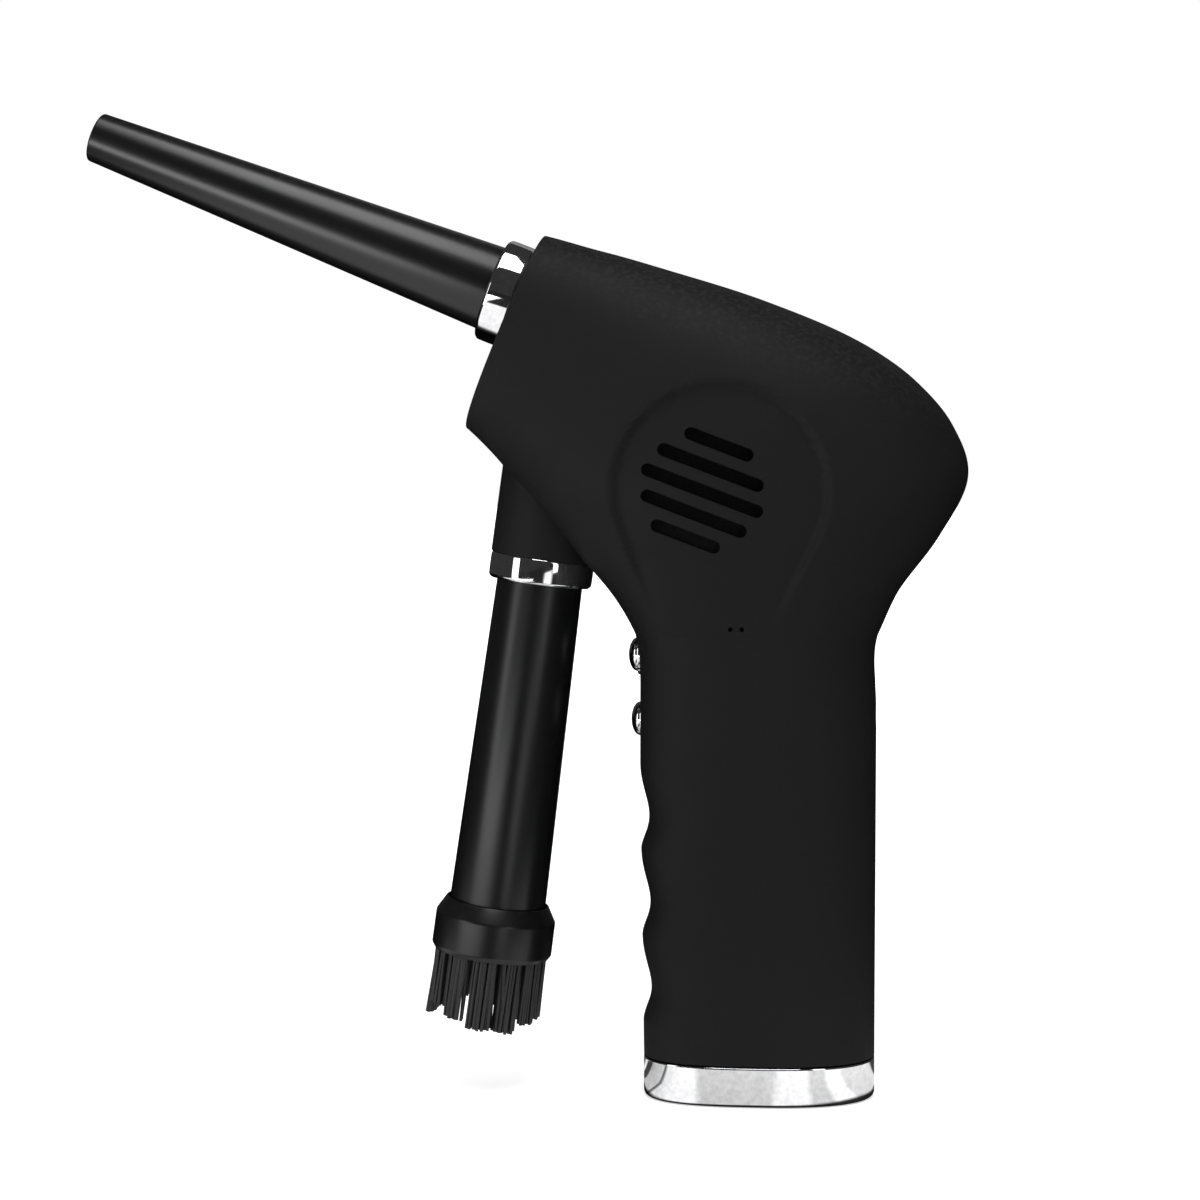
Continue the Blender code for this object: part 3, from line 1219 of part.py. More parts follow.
def build_buttons(chrome, black, white):
    """Each button: a domed cap through the grip's front, a switch behind it and the switch's plunger."""
    for name, (rise, bulge) in BUTTON_PLACES.items():
        frame = button_frame(rise)
        surface = GRIP_DEPTH / 2 + bulge
        radius = BUTTON_DIAMETER / 2
        flange_top = surface - WALL - FIT
        flange_foot = flange_top - BUTTON_FLANGE
        switch_top = -SWITCH_BOARD_X + FIT + SWITCH_BODY
        plunger_top = switch_top + PLUNGER_REACH
        stem = plunger_top + FIT
        neck = PLUNGER_DIAMETER / 2 + 2 * SCREW_PLAY
        dome = [
            (radius * math.cos(angle), surface + BUTTON_DOME * math.sin(angle))
            for angle in (math.pi / 2 * k / 4 for k in range(4))
        ]
        profile = [(0, stem), (neck, stem), (neck, flange_foot), (radius + BUTTON_FLANGE, flange_foot)]
        profile += [(radius + BUTTON_FLANGE, flange_top), (radius, flange_top)]
        profile += dome + [(0, surface + BUTTON_DOME)]
        finish(turned("button", profile, frame, 20), name + "_button", chrome)

        side = SWITCH_SIDE / 2
        body = box("switch", (-side, -side, switch_top - SWITCH_BODY), (side, side, switch_top), frame)
        well = PLUNGER_DIAMETER / 2 + FIT
        depth = switch_top - BUTTON_TRAVEL * 2 - FIT
        cut(soften(body, SCREW_PLAY), cylinder("well", well, depth, surface, frame, SMALL_ROUND_POINTS))
        finish(body, name + "_switch", black)
        plunger_foot = switch_top - BUTTON_TRAVEL
        plunger_radius = PLUNGER_DIAMETER / 2
        plunger = cylinder("plunger", plunger_radius, plunger_foot, plunger_top, frame, SMALL_ROUND_POINTS)
        finish(plunger, name + "_plunger", white)


# ---------------------------------------------------------------- assembly


def build():
    clear_scene()
    soft_black = material("soft_black", (0.016, 0.016, 0.017), 0.55)
    satin_black = material("satin_black", (0.012, 0.012, 0.013), 0.28)
    chrome = material("chrome", (0.80, 0.80, 0.81), 0.05, 1.0)
    bristle = material("bristle", (0.02, 0.02, 0.02), 0.6)
    inner_grey = material("inner_grey", (0.10, 0.10, 0.11), 0.5)
    wheel_white = material("wheel_white", (0.75, 0.75, 0.72), 0.4)
    steel = material("steel", (0.55, 0.55, 0.56), 0.3, 1.0)
    iron = material("laminated_iron", (0.20, 0.20, 0.21), 0.45, 1.0)
    copper = material("copper", (0.72, 0.34, 0.16), 0.3, 1.0)
    magnet = material("magnet", (0.08, 0.08, 0.09), 0.4, 1.0)
    rubber = material("rubber", (0.02, 0.02, 0.02), 0.8)
    foam = material("foam", (0.03, 0.03, 0.03), 0.95)
    wrap = material("cell_wrap", (0.05, 0.22, 0.16), 0.4)
    board = material("board_green", (0.02, 0.16, 0.07), 0.5)
    switch_black = material("switch_black", (0.03, 0.03, 0.03), 0.5)

    build_housing(soft_black)
    build_foot(chrome, inner_grey, steel)
    build_housing_screws(steel)
    port_ring("front_port_ring", FRONT_PORT, chrome)
    port_ring("lower_port_ring", LOWER_PORT, chrome)
    build_nozzle(satin_black, rubber)
    build_brush(satin_black, bristle, rubber)
    build_manifold(inner_grey)
    build_scroll(inner_grey)
    build_rotor(wheel_white, magnet, steel)
    build_stator(iron, copper, steel)
    build_filters(foam)
    build_cells(wrap, inner_grey)
    build_boards(board, steel)
    build_buttons(chrome, switch_black, wheel_white)


build()
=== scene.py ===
# %% [markdown]
# # A cordless air blower, dressed for its picture
#
# The CAD model gives every piece its true shape and place. This lesson adds what makes it look real: soft
# edges, the grain of the plastic, the bright metal, and the light around it. Each cell does one thing and
# prints what it made.

import json
import math

import bmesh
import bpy
import numpy as np
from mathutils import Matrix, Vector
from mathutils.bvhtree import BVHTree

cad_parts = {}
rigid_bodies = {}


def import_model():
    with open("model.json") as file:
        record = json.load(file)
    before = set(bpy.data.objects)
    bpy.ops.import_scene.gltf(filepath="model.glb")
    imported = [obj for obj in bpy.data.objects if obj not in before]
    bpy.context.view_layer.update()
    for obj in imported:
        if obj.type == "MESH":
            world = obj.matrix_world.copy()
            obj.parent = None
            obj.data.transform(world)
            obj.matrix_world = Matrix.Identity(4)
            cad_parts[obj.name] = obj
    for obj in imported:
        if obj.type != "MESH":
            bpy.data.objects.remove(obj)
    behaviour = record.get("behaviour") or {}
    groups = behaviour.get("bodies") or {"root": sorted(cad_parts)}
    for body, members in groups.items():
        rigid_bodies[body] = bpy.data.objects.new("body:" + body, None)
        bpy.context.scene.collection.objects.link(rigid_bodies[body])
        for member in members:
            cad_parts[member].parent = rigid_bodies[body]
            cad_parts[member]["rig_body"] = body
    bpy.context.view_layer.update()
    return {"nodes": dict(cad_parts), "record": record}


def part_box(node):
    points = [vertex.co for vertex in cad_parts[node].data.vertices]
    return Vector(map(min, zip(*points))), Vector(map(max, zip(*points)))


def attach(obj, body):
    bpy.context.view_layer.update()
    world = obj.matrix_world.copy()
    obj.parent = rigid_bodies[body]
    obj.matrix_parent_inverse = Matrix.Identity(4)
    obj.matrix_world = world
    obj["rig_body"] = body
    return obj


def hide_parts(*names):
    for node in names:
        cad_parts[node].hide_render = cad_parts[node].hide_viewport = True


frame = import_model()
nodes = frame["nodes"]
MM = 0.001

# %% [markdown]
# ## The camera
#
# The blower is seen from its left side, a little from behind and a little from above. A long lens keeps
# the nozzle from looking stretched. The camera's place is worked out from the point it looks at.

# %% Place the camera
LOOKS_AT = Vector((-0.0348, 0.0, 0.10699))
DISTANCE = 0.55378
AROUND = math.radians(4.6)
ABOVE = math.radians(3.3)
FILM_WIDTH, LENS_LENGTH = 36.0, 76.56

camera_data = bpy.data.cameras.new("camera")
camera_data.sensor_width, camera_data.lens = FILM_WIDTH, LENS_LENGTH
camera = bpy.data.objects.new("camera", camera_data)
bpy.context.scene.collection.objects.link(camera)
backwards = Vector((math.sin(AROUND) * math.cos(ABOVE), -math.cos(AROUND) * math.cos(ABOVE), math.sin(ABOVE)))
camera.location = LOOKS_AT + backwards * DISTANCE
camera.rotation_euler = (-backwards).to_track_quat("-Z", "Y").to_euler()
bpy.context.scene.camera = camera
bpy.context.scene.view_settings.view_transform = "Standard"
print("camera at", [round(v, 3) for v in camera.location])

# %% [markdown]
# ## A small kit for node trees
#
# Every material and the world are node trees. Three helpers keep them readable: one adds a node and sets
# or links its inputs, one does a step of arithmetic, and one starts a group, in which an effect that many
# finishes share is built once.

# %% Helpers for node trees
def add_node(tree, kind, settings=None, **inputs):
    """Adds a node, sets its options, and sets or links its inputs: a socket is linked and a value is set."""
    node = tree.nodes.new(kind)
    for option, value in (settings or {}).items():
        setattr(node, option, value)
    for name, value in inputs.items():
        socket = node.inputs[int(name[1:])] if name[0] == "_" else node.inputs[name.replace("_", " ")]
        if isinstance(value, bpy.types.NodeSocket):
            tree.links.new(value, socket)
        else:
            socket.default_value = value
    return node


def math_node(tree, operation, first, second=0.0, third=0.0, clamp=False):
    """One step of arithmetic; each of the three may be a number or a socket."""
    settings = {"operation": operation, "use_clamp": clamp}
    return add_node(tree, "ShaderNodeMath", settings, _0=first, _1=second, _2=third).outputs[0]


def new_group(name, inputs, outputs):
    """An empty shader group with its sockets, as (tree, input node, output node)."""
    tree = bpy.data.node_groups.new(name, "ShaderNodeTree")
    for socket, kind, value in inputs:
        made = tree.interface.new_socket(name=socket, in_out="INPUT", socket_type="NodeSocket" + kind)
        if value is not None:
            made.default_value = value
    for socket, kind in outputs:
        tree.interface.new_socket(name=socket, in_out="OUTPUT", socket_type="NodeSocket" + kind)
    return tree, tree.nodes.new("NodeGroupInput"), tree.nodes.new("NodeGroupOutput")


print("helpers ready")

# %% [markdown]
# ## Three shared effects
#
# Moulded grain is the fine pebble that a mould leaves on plastic, or, stretched along one axis, the drag
# lines on turned metal. Handling is the patchy change in gloss that fingers leave. Both are noise, at two
# very different scales. The third is dust, on what faces up.
#
# The grain comes first: its height goes into a bump, and its shade darkens the pits.

# %% The grain group
grain, grain_in, grain_out = new_group(
    "moulded_grain",
    [("Point", "Vector", None), ("Grains per metre", "Float", 1500.0), ("Stretch", "Vector", (1.0, 1.0, 1.0))],
    [("Height", "Float"), ("Shade", "Float")],
)
scaled = add_node(grain, "ShaderNodeVectorMath", {"operation": "MULTIPLY"}, _0=grain_in.outputs["Point"],
                  _1=grain_in.outputs["Stretch"])
pebble = add_node(grain, "ShaderNodeTexNoise", Vector=scaled.outputs[0],
                  Scale=grain_in.outputs["Grains per metre"], Detail=2.0, Roughness=0.55)
grain.links.new(pebble.outputs["Fac"], grain_out.inputs["Height"])
pit_shade = add_node(grain, "ShaderNodeMapRange", _0=pebble.outputs["Fac"], _1=0.3, _2=0.7, _3=0.9, _4=1.1)
grain.links.new(pit_shade.outputs[0], grain_out.inputs["Shade"])
print("group:", grain.name)

# %% [markdown]
# Handling is a slow noise, centred on zero, that is added to the roughness.

# %% The handling group
handling, handling_in, handling_out = new_group(
    "handling", [("Point", "Vector", None), ("Patches per metre", "Float", 45.0)], [("Gloss change", "Float")]
)
patches = add_node(handling, "ShaderNodeTexNoise", Vector=handling_in.outputs["Point"],
                   Scale=handling_in.outputs["Patches per metre"], Detail=5.0, Roughness=0.6, Distortion=0.4)
centred = add_node(handling, "ShaderNodeMapRange", _0=patches.outputs["Fac"], _1=0.3, _2=0.7, _3=-1.0, _4=1.0)
handling.links.new(centred.outputs[0], handling_out.inputs["Gloss change"])
print("group:", handling.name)

# %% [markdown]
# Dust settles in specks, where the surface faces up.

# %% The dust group
dust, dust_in, dust_out = new_group(
    "settled_dust", [("Point", "Vector", None), ("Amount", "Float", 0.1)], [("Dust", "Float")]
)
facing = add_node(dust, "ShaderNodeSeparateXYZ", _0=add_node(dust, "ShaderNodeNewGeometry").outputs["Normal"])
upward = add_node(dust, "ShaderNodeMapRange", _0=facing.outputs["Z"], _1=0.35, _2=1.0, _3=0.0, _4=1.0)
specks = add_node(dust, "ShaderNodeTexNoise", Vector=dust_in.outputs["Point"], Scale=900.0, Detail=3.0)
speck_mask = add_node(dust, "ShaderNodeMapRange", _0=specks.outputs["Fac"], _1=0.45, _2=0.75, _3=0.0, _4=1.0)
settled = math_node(dust, "MULTIPLY", upward.outputs[0], speck_mask.outputs[0])
dust.links.new(math_node(dust, "MULTIPLY", settled, dust_in.outputs["Amount"]), dust_out.inputs["Dust"])
print("group:", dust.name)

# %% [markdown]
# ## The finishes
#
# One function makes every finish from a few numbers that a maker would know: the colour, how rough and
# how metallic it is, how deep its grain is and how fine.

# %% One function for every finish
DUST_GREY = (0.25, 0.25, 0.24, 1.0)


def finish(slot, color, rough, metal=0.0, depth=0.02, grains=1500.0, stretch=(1, 1, 1), wear=0.04,
           dusty=0.06, level=0.5):
    """A Principled finish: colour times grain shade, roughness plus handling, grain height as a bump."""
    made = bpy.data.materials.new(slot)
    made.use_nodes = True
    tree = made.node_tree
    shader = tree.nodes["Principled BSDF"]
    shader.inputs["Metallic"].default_value = metal
    shader.inputs["Specular IOR Level"].default_value = level
    point = add_node(tree, "ShaderNodeTexCoord").outputs["Object"]
    pebbles = add_node(tree, "ShaderNodeGroup", {"node_tree": grain}, Point=point, Grains_per_metre=grains)
    pebbles.inputs["Stretch"].default_value = stretch
    touched = add_node(tree, "ShaderNodeGroup", {"node_tree": handling}, Point=point)
    settled = add_node(tree, "ShaderNodeGroup", {"node_tree": dust}, Point=point, Amount=dusty)
    shaded = add_node(tree, "ShaderNodeMix", {"data_type": "RGBA", "blend_type": "MULTIPLY"})
    shaded.inputs[0].default_value = 1.0
    shaded.inputs[6].default_value = (*color, 1.0)
    tree.links.new(pebbles.outputs["Shade"], shaded.inputs[7])
    dusted = add_node(tree, "ShaderNodeMix", {"data_type": "RGBA"})
    tree.links.new(settled.outputs["Dust"], dusted.inputs[0])
    tree.links.new(shaded.outputs[2], dusted.inputs[6])
    dusted.inputs[7].default_value = DUST_GREY
    tree.links.new(dusted.outputs[2], shader.inputs["Base Color"])
    roughness = math_node(tree, "MULTIPLY_ADD", touched.outputs["Gloss change"], wear, rough, clamp=True)
    tree.links.new(roughness, shader.inputs["Roughness"])
    bump = add_node(tree, "ShaderNodeBump", Height=pebbles.outputs["Height"], Strength=1.0,
                    Distance=depth * MM)
    tree.links.new(bump.outputs[0], shader.inputs["Normal"])
    return made


print("finish() ready")

# %% [markdown]
# The body is a soft-touch black that hardly shines, and the nozzle and the tube are a satin black that
# carries long streaks of light. The finishes after the chrome are for what is inside.

# %% Make the finishes
FINISHES = {  # only what differs from the usual is given
    "soft_black": dict(color=(0.0085, 0.0085, 0.0088), rough=0.62, depth=0.012, grains=5200, level=0.16),
    "satin_black": dict(color=(0.0045, 0.0045, 0.0048), rough=0.30, depth=0.002, grains=3000, wear=0.02),
    "chrome": dict(color=(0.83, 0.83, 0.84), rough=0.045, metal=1.0, depth=0.0006, grains=900,
                   wear=0.012, dusty=0.0),
    "bristle": dict(color=(0.010, 0.010, 0.011), rough=0.38, depth=0.003, grains=4000,
                    stretch=(1, 1, 0.1)),
    "inner_grey": dict(color=(0.085, 0.085, 0.09), rough=0.5),
    "wheel_white": dict(color=(0.72, 0.72, 0.68), rough=0.42),
    "steel": dict(color=(0.56, 0.56, 0.57), rough=0.28, metal=1.0, depth=0.002, grains=2500,
                  stretch=(1, 1, 0.05)),
    "laminated_iron": dict(color=(0.30, 0.30, 0.31), rough=0.4, metal=1.0, depth=0.01,
                           stretch=(0.1, 3, 0.1)),
    "copper": dict(color=(0.80, 0.32, 0.13), rough=0.3, metal=1.0, depth=0.03, grains=3500,
                   stretch=(1, 0.1, 1)),
    "magnet": dict(color=(0.07, 0.07, 0.08), rough=0.55, metal=0.6),
    "rubber": dict(color=(0.014, 0.014, 0.014), rough=0.7, depth=0.01),
    "foam": dict(color=(0.006, 0.006, 0.006), rough=0.95, depth=0.5, grains=1400, level=0.1),
    "cell_wrap": dict(color=(0.03, 0.20, 0.14), rough=0.25, wear=0.08),
    "board_green": dict(color=(0.012, 0.14, 0.055), rough=0.35, depth=0.01, grains=2200),
    "switch_black": dict(color=(0.02, 0.02, 0.02), rough=0.45),
}
looks = {slot: finish(slot, **kind) for slot, kind in FINISHES.items()}
slot_of = {row["node"]: row["material_slot"] for row in frame["record"]["subparts"]}
for name, node in nodes.items():
    node.material_slots[0].material = looks[slot_of[name]]
print("finishes:", len(looks))

# %% [markdown]
# ## Surfaces from grids
#
# Every new piece is a grid of points, worked out at once with numpy: one direction runs along a profile
# and the other round or along the piece. Where the grid closes on itself, the last row of faces joins
# back to the first.

# %% Turn a grid of points into a mesh
def add_piece(name, points, faces):
    """A new object at the origin from a list of points and a list of faces."""
    mesh = bpy.data.meshes.new(name)
    mesh.from_pydata(points, [], faces)
    made = bpy.data.objects.new(name, mesh)
    bpy.context.scene.collection.objects.link(made)
    return made


def grid_object(name, points, closed_rows=False, closed_columns=True, caps=()):
    """Quads between the neighbours of a grid, plus whole faces given as point numbers."""
    rows, columns = points.shape[:2]
    row = np.arange(rows if closed_rows else rows - 1)[:, None]
    column = np.arange(columns if closed_columns else columns - 1)[None, :]
    next_row, next_column = (row + 1) % rows, (column + 1) % columns
    quads = np.stack([row * columns + column, next_row * columns + column, next_row * columns + next_column,
                      row * columns + next_column], -1).reshape(-1, 4)
    flat = points.reshape(-1, 3)
    first, second, third = (flat[quads[:, k]] for k in range(3))
    outwardness = np.einsum("ij,ij->i", first - flat.mean(0), np.cross(second - first, third - first)).sum()
    faces = quads.tolist() + [list(cap) for cap in caps]
    return add_piece(name, flat.tolist(), faces if outwardness > 0 else [face[::-1] for face in faces])


print("grids ready")

# %% [markdown]
# Every piece then goes through the same two steps: it is evened out, and it takes the place of its solid,
# with that solid's body and finish.

# %% Finish a piece and put it in its solid's place
DOUBLES_WITHIN = 1e-7


def face_out(piece, merge=False):
    """Turns all faces outwards, after merging doubled points where that is wanted."""
    tool = bmesh.new()
    tool.from_mesh(piece.data)
    if merge:
        bmesh.ops.remove_doubles(tool, verts=tool.verts, dist=DOUBLES_WITHIN)
    bmesh.ops.recalc_face_normals(tool, faces=tool.faces)
    tool.to_mesh(piece.data)
    tool.free()
    return piece


def even_out(piece, sharp=40.0):
    """Merges doubles, points the faces outwards and smooths all edges that turn less than the sharp angle."""
    face_out(piece, merge=True)
    piece.data.polygons.foreach_set("use_smooth", np.ones(len(piece.data.polygons), bool))
    piece.data.set_sharp_from_angle(angle=math.radians(sharp))
    return piece


def stand_for(piece, node):
    """The piece takes the node's place, its body and its finish."""
    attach(piece, nodes[node]["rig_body"])
    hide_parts(node)
    piece.data.materials.clear()
    piece.data.materials.append(looks[slot_of[node]])
    print(f"{piece.name}: {len(piece.data.polygons)} faces for {node}")
    return piece


print("finishing steps ready")

# %% [markdown]
# ## Turned pieces
#
# The nozzle, the brush tube, its collar, the chrome rings and the buttons are round. Each is a profile,
# drawn as corners with a small rounding, and turned round its axis. The rounding matters most: real edges
# are never sharp, and the thin light along an edge tells the eye how large the thing is.

# %% Round a profile's corners and turn it
def rounded(corners, steps=5):
    """Each (radius, height, setback) corner P becomes (1-t)^2 A + 2t(1-t) P + t^2 B; A and B are set back."""
    data = np.array(corners, float)
    here, setback = data[:, :2], data[:, 2:3]
    before, after = np.roll(here, 1, 0) - here, np.roll(here, -1, 0) - here
    start = here + before / np.linalg.norm(before, axis=1, keepdims=True) * setback
    end = here + after / np.linalg.norm(after, axis=1, keepdims=True) * setback
    t = np.linspace(0, 1, steps + 1)[None, :, None]
    curve = (1 - t) ** 2 * start[:, None] + 2 * t * (1 - t) * here[:, None] + t ** 2 * end[:, None]
    return curve.reshape(-1, 2)


def along(origin, direction):
    """Origin and three axes, the third along direction, for a piece whose axis lies in the plane Y = 0."""
    axis = np.array(direction, float) / np.linalg.norm(direction)
    side = np.array([0.0, 1.0, 0.0])
    return np.array(origin, float), side, np.cross(axis, side), axis


def turned_points(profile, place, around):
    """origin + r cos a * side + r sin a * up + h * axis, for every (r, h) and angle a, in metres."""
    origin, side, up, axis = place
    angle = np.arange(around) * math.tau / around
    r, h = profile[:, :1], profile[:, 1:]
    across = (r * np.cos(angle))[..., None] * side + (r * np.sin(angle))[..., None] * up
    return (across + (h + 0 * angle)[..., None] * axis + origin) * MM


def turned(name, profile, place, around):
    """A closed profile turned into a ring-shaped piece."""
    return grid_object(name, turned_points(profile, place, around), closed_rows=True)


print("turning ready")

# %% [markdown]
# The head leans back and the branch under it leans too, so each port has a place of its own: a point on
# its mouth and an axis that points out of it. Whatever plugs in ends in the same grooved spigot.

# %% Place the two ports
HEAD_TILT, BRANCH_LEAN = math.radians(21.0), math.radians(7.6)
FRONT = along((-57.4, 0, 174.0), (-math.cos(HEAD_TILT), 0, math.sin(HEAD_TILT)))
LOWER = along((-48.1, 0, 109.4), (-math.sin(BRANCH_LEAN), 0, -math.cos(BRANCH_LEAN)))
SPIGOT = [(5.9, -12.0, 0.2), (7.7, -12.0, 0.1), (8.0, -11.4, 0.1), (8.0, -8.15, 0.05), (7.1, -8.15, 0.05),
          (7.1, -6.65, 0.05), (8.0, -6.65, 0.05), (8.0, -2.2, 0.1)]
BORE = (5.9, 0.0)
ROUND = 144
print("front port at", FRONT[0], "lower port at", LOWER[0])

# %% [markdown]
# The nozzle is a long plain cone with a bore that narrows more slowly.

# %% The long nozzle
NOZZLE_TIP = 93.8
nozzle_profile = rounded(SPIGOT + [(8.0, -0.4, 0.1), (9.3, -0.4, 0.1), (5.4, NOZZLE_TIP, 0.42),
                                   (3.85, NOZZLE_TIP, 0.42), (*BORE, 0.3)])
stand_for(even_out(turned("nozzle_cone", nozzle_profile, FRONT, ROUND)), "nozzle")

# %% [markdown]
# The brush tube widens a little downwards. Its collar, a piece of its own, grips the lower end and holds
# the bristles in a deep groove.

# %% The brush tube and its collar
TUBE_END, COLLAR_END = 75.0, 80.5
tube_profile = rounded(SPIGOT + [(9.3, -2.2, 0.1), (10.6, TUBE_END, 0.3), (9.1, TUBE_END, 0.3),
                                 (7.55, 12.0, 1.5), (*BORE, 0.5)])
stand_for(even_out(turned("brush_pipe", tube_profile, LOWER, ROUND)), "brush_tube")
collar_profile = rounded([
    (10.9, 69.0, 0.05), (11.2, 69.0, 0.12), (13.1, 72.3, 0.28), (13.15, 79.5, 0.22), (12.5, COLLAR_END, 0.10),
    (12.35, COLLAR_END, 0.05), (12.35, 77.5, 0.1), (10.0, 77.5, 0.1), (10.0, COLLAR_END, 0.12),
    (9.1, COLLAR_END, 0.12), (9.1, 75.3, 0.1), (10.9, 75.3, 0.1)])
stand_for(even_out(turned("brush_cuff", collar_profile, LOWER, ROUND)), "brush_collar")

# %% [markdown]
# The chrome rings are almost straight barrels with small edges, which keeps the reflections in them
# upright. Their back seats on the housing and a sleeve goes into the port.

# %% The two chrome port rings
SLEEVE_END = -8.8


def ring_profile(back, face):
    """Corners of a ring: a flange from back to face along the port's axis, and a sleeve behind it."""
    return rounded([
        (9.6, face, 0.15), (9.6, face - 1.2, 0.1), (8.3, face - 1.2, 0.1), (8.3, SLEEVE_END, 0.1),
        (9.8, SLEEVE_END, 0.1), (9.8, back, 0.05), (10.95, back, 0.12), (11.22, back + 0.45, 0.22),
        (11.28, face - 2.6, 1.2), (11.22, face - 0.55, 0.25), (10.75, face, 0.2)], steps=6)


for name, place, back, face in (("front", FRONT, -5.6, 0.6), ("lower", LOWER, -7.0, -1.4)):
    bezel = turned(name + "_bezel", ring_profile(back, face), place, 160)
    stand_for(even_out(bezel, 50), name + "_port_ring")

# %% [markdown]
# The buttons are polished domes that stand out of the grip's front. A flange behind each dome keeps it in
# the wall.

# %% The two chrome buttons
BUTTON_HEIGHTS = {"upper": 95.3, "lower": 81.3}
DOME_RADIUS, DOME_RISE, DOME_ROOT = 3.7, 1.5, 0.55
TOWARDS_FRONT = (-1, 0, 0)


def button_profile(flange, wall_end):
    """A domed cap: r = R cos a and h = H sin(a)^0.9 on top of a flange. Heights grow towards the front."""
    angle = np.linspace(0, math.pi / 2, 12)
    crown = np.stack([DOME_RADIUS * np.cos(angle),
                      wall_end - DOME_ROOT + (DOME_RISE + DOME_ROOT) * np.sin(angle) ** 0.9], -1)
    skirt = [(0.0, flange), (5.3, flange), (5.3, flange + 0.9), (4.4, flange + 0.9), (4.4, wall_end - 0.8),
             (4.3, wall_end - 0.6), (4.05, wall_end - 0.5)]
    return np.concatenate([np.array(skirt), crown])


for name, height in BUTTON_HEIGHTS.items():
    low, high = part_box(name + "_button")
    tip, back = -low.x / MM, -high.x / MM
    dome = button_profile(back, tip - DOME_RISE)
    cap = turned(name + "_cap", dome, along((0, 0, height), TOWARDS_FRONT), 72)
    stand_for(even_out(cap, 38), name + "_button")

# %% [markdown]
# ## The brush
#
# The bristles are stiff nylon strands in clumps, cut to uneven lengths, with light between the clumps and
# a few strands that have strayed. Each strand is a thin six-sided rod. A seeded random generator places
# them, so every run makes the same brush.

# %% Place the bristles
STRANDS, CLUMPS, BRUSH_SEED = 336, 12, 11
STRAND_RADIUS, STRAND_SIDES, STRAND_LEVELS = 0.41, 6, 5
STRAND_RINGS = [10.55, 11.18, 11.80]
STRAND_ROOT, CLUMP_END = 77.8, 95.6
CLUMP_SPREAD, STRAY_SHARE, STRAY_LIMIT = 0.41, 0.035, 2.2


def strand_points():
    """Strand s at height h: its foot on the ring plus its lean times (h/length)^1.4, and points round it."""
    random = np.random.default_rng(BRUSH_SEED)
    clump = np.arange(STRANDS) % CLUMPS
    angle = (clump + random.uniform(-CLUMP_SPREAD, CLUMP_SPREAD, STRANDS)) * math.tau / CLUMPS
    ring = random.choice(STRAND_RINGS, STRANDS) + random.uniform(-0.12, 0.12, STRANDS)
    foot = np.stack([ring * np.cos(angle), ring * np.sin(angle)], -1)
    clump_end = CLUMP_END + random.uniform(-3.4, 0.9, CLUMPS)
    end = clump_end[clump] + random.uniform(-0.45, 0.30, STRANDS)
    lean = 0.05 * foot / ring[:, None] + random.normal(0, 0.22, (STRANDS, 2))
    stray = random.random(STRANDS) < STRAY_SHARE
    wander = np.clip(random.normal(0, 1.5, (int(stray.sum()), 2)), -STRAY_LIMIT, STRAY_LIMIT)
    lean[stray] += wander - 0.12 * foot[stray]
    share = np.linspace(0, 1, STRAND_LEVELS)[None, :, None, None]
    turn = np.arange(STRAND_SIDES) * math.tau / STRAND_SIDES
    around = np.stack([np.cos(turn), np.sin(turn)], -1)[None, None]
    taper = STRAND_RADIUS * (1 - 0.15 * share ** 2)
    width = taper * random.uniform(0.85, 1.12, STRANDS)[:, None, None, None]
    flat = foot[:, None, None] + lean[:, None, None] * share ** 1.4 + around * width
    high = (STRAND_ROOT + (end - STRAND_ROOT)[:, None, None, None] * share) + np.zeros_like(flat[..., :1])
    return np.concatenate([flat, high], -1)


strands = strand_points()
print("strands:", len(strands))

# %% [markdown]
# All the strands go into one mesh. Quads join each level of a strand to the next, and a face closes each
# end.

# %% Join the bristles into one piece
def strand_faces(count, levels, sides):
    """Quads between neighbouring levels, then each strand's two ends, as point numbers."""
    first = (np.arange(count) * levels * sides)[:, None, None]
    level = np.arange(levels - 1)[None, :, None] * sides
    corner = np.arange(sides)[None, None]
    after = (corner + 1) % sides
    quads = np.stack([first + level + corner, first + level + after, first + level + sides + after,
                      first + level + sides + corner], -1).reshape(-1, 4)
    ends = first[:, 0] + (levels - 1) * sides + np.arange(sides)
    feet = first[:, 0] + np.arange(sides)[::-1]
    return quads.tolist() + ends.tolist() + feet.tolist()


origin, side, up, axis = LOWER
placed = (strands[..., :1] * side + strands[..., 1:2] * up + strands[..., 2:] * axis + origin) * MM
brush_hairs = add_piece("brush_hairs", placed.reshape(-1, 3).tolist(), strand_faces(*placed.shape[:3]))
stand_for(even_out(brush_hairs, 50), "bristles")

# %% [markdown]
# ## The housing
#
# Every section of the grip and the head is a superellipse, a rounded oblong whose corners get squarer as
# its power grows. On the grip the sections lie flat. In the head they fan out round a line in front of
# the grip, which is what bends the form forward.

# %% One function for all the sections
FRONT_POWER, REAR_POWER = 3.0, 2.4


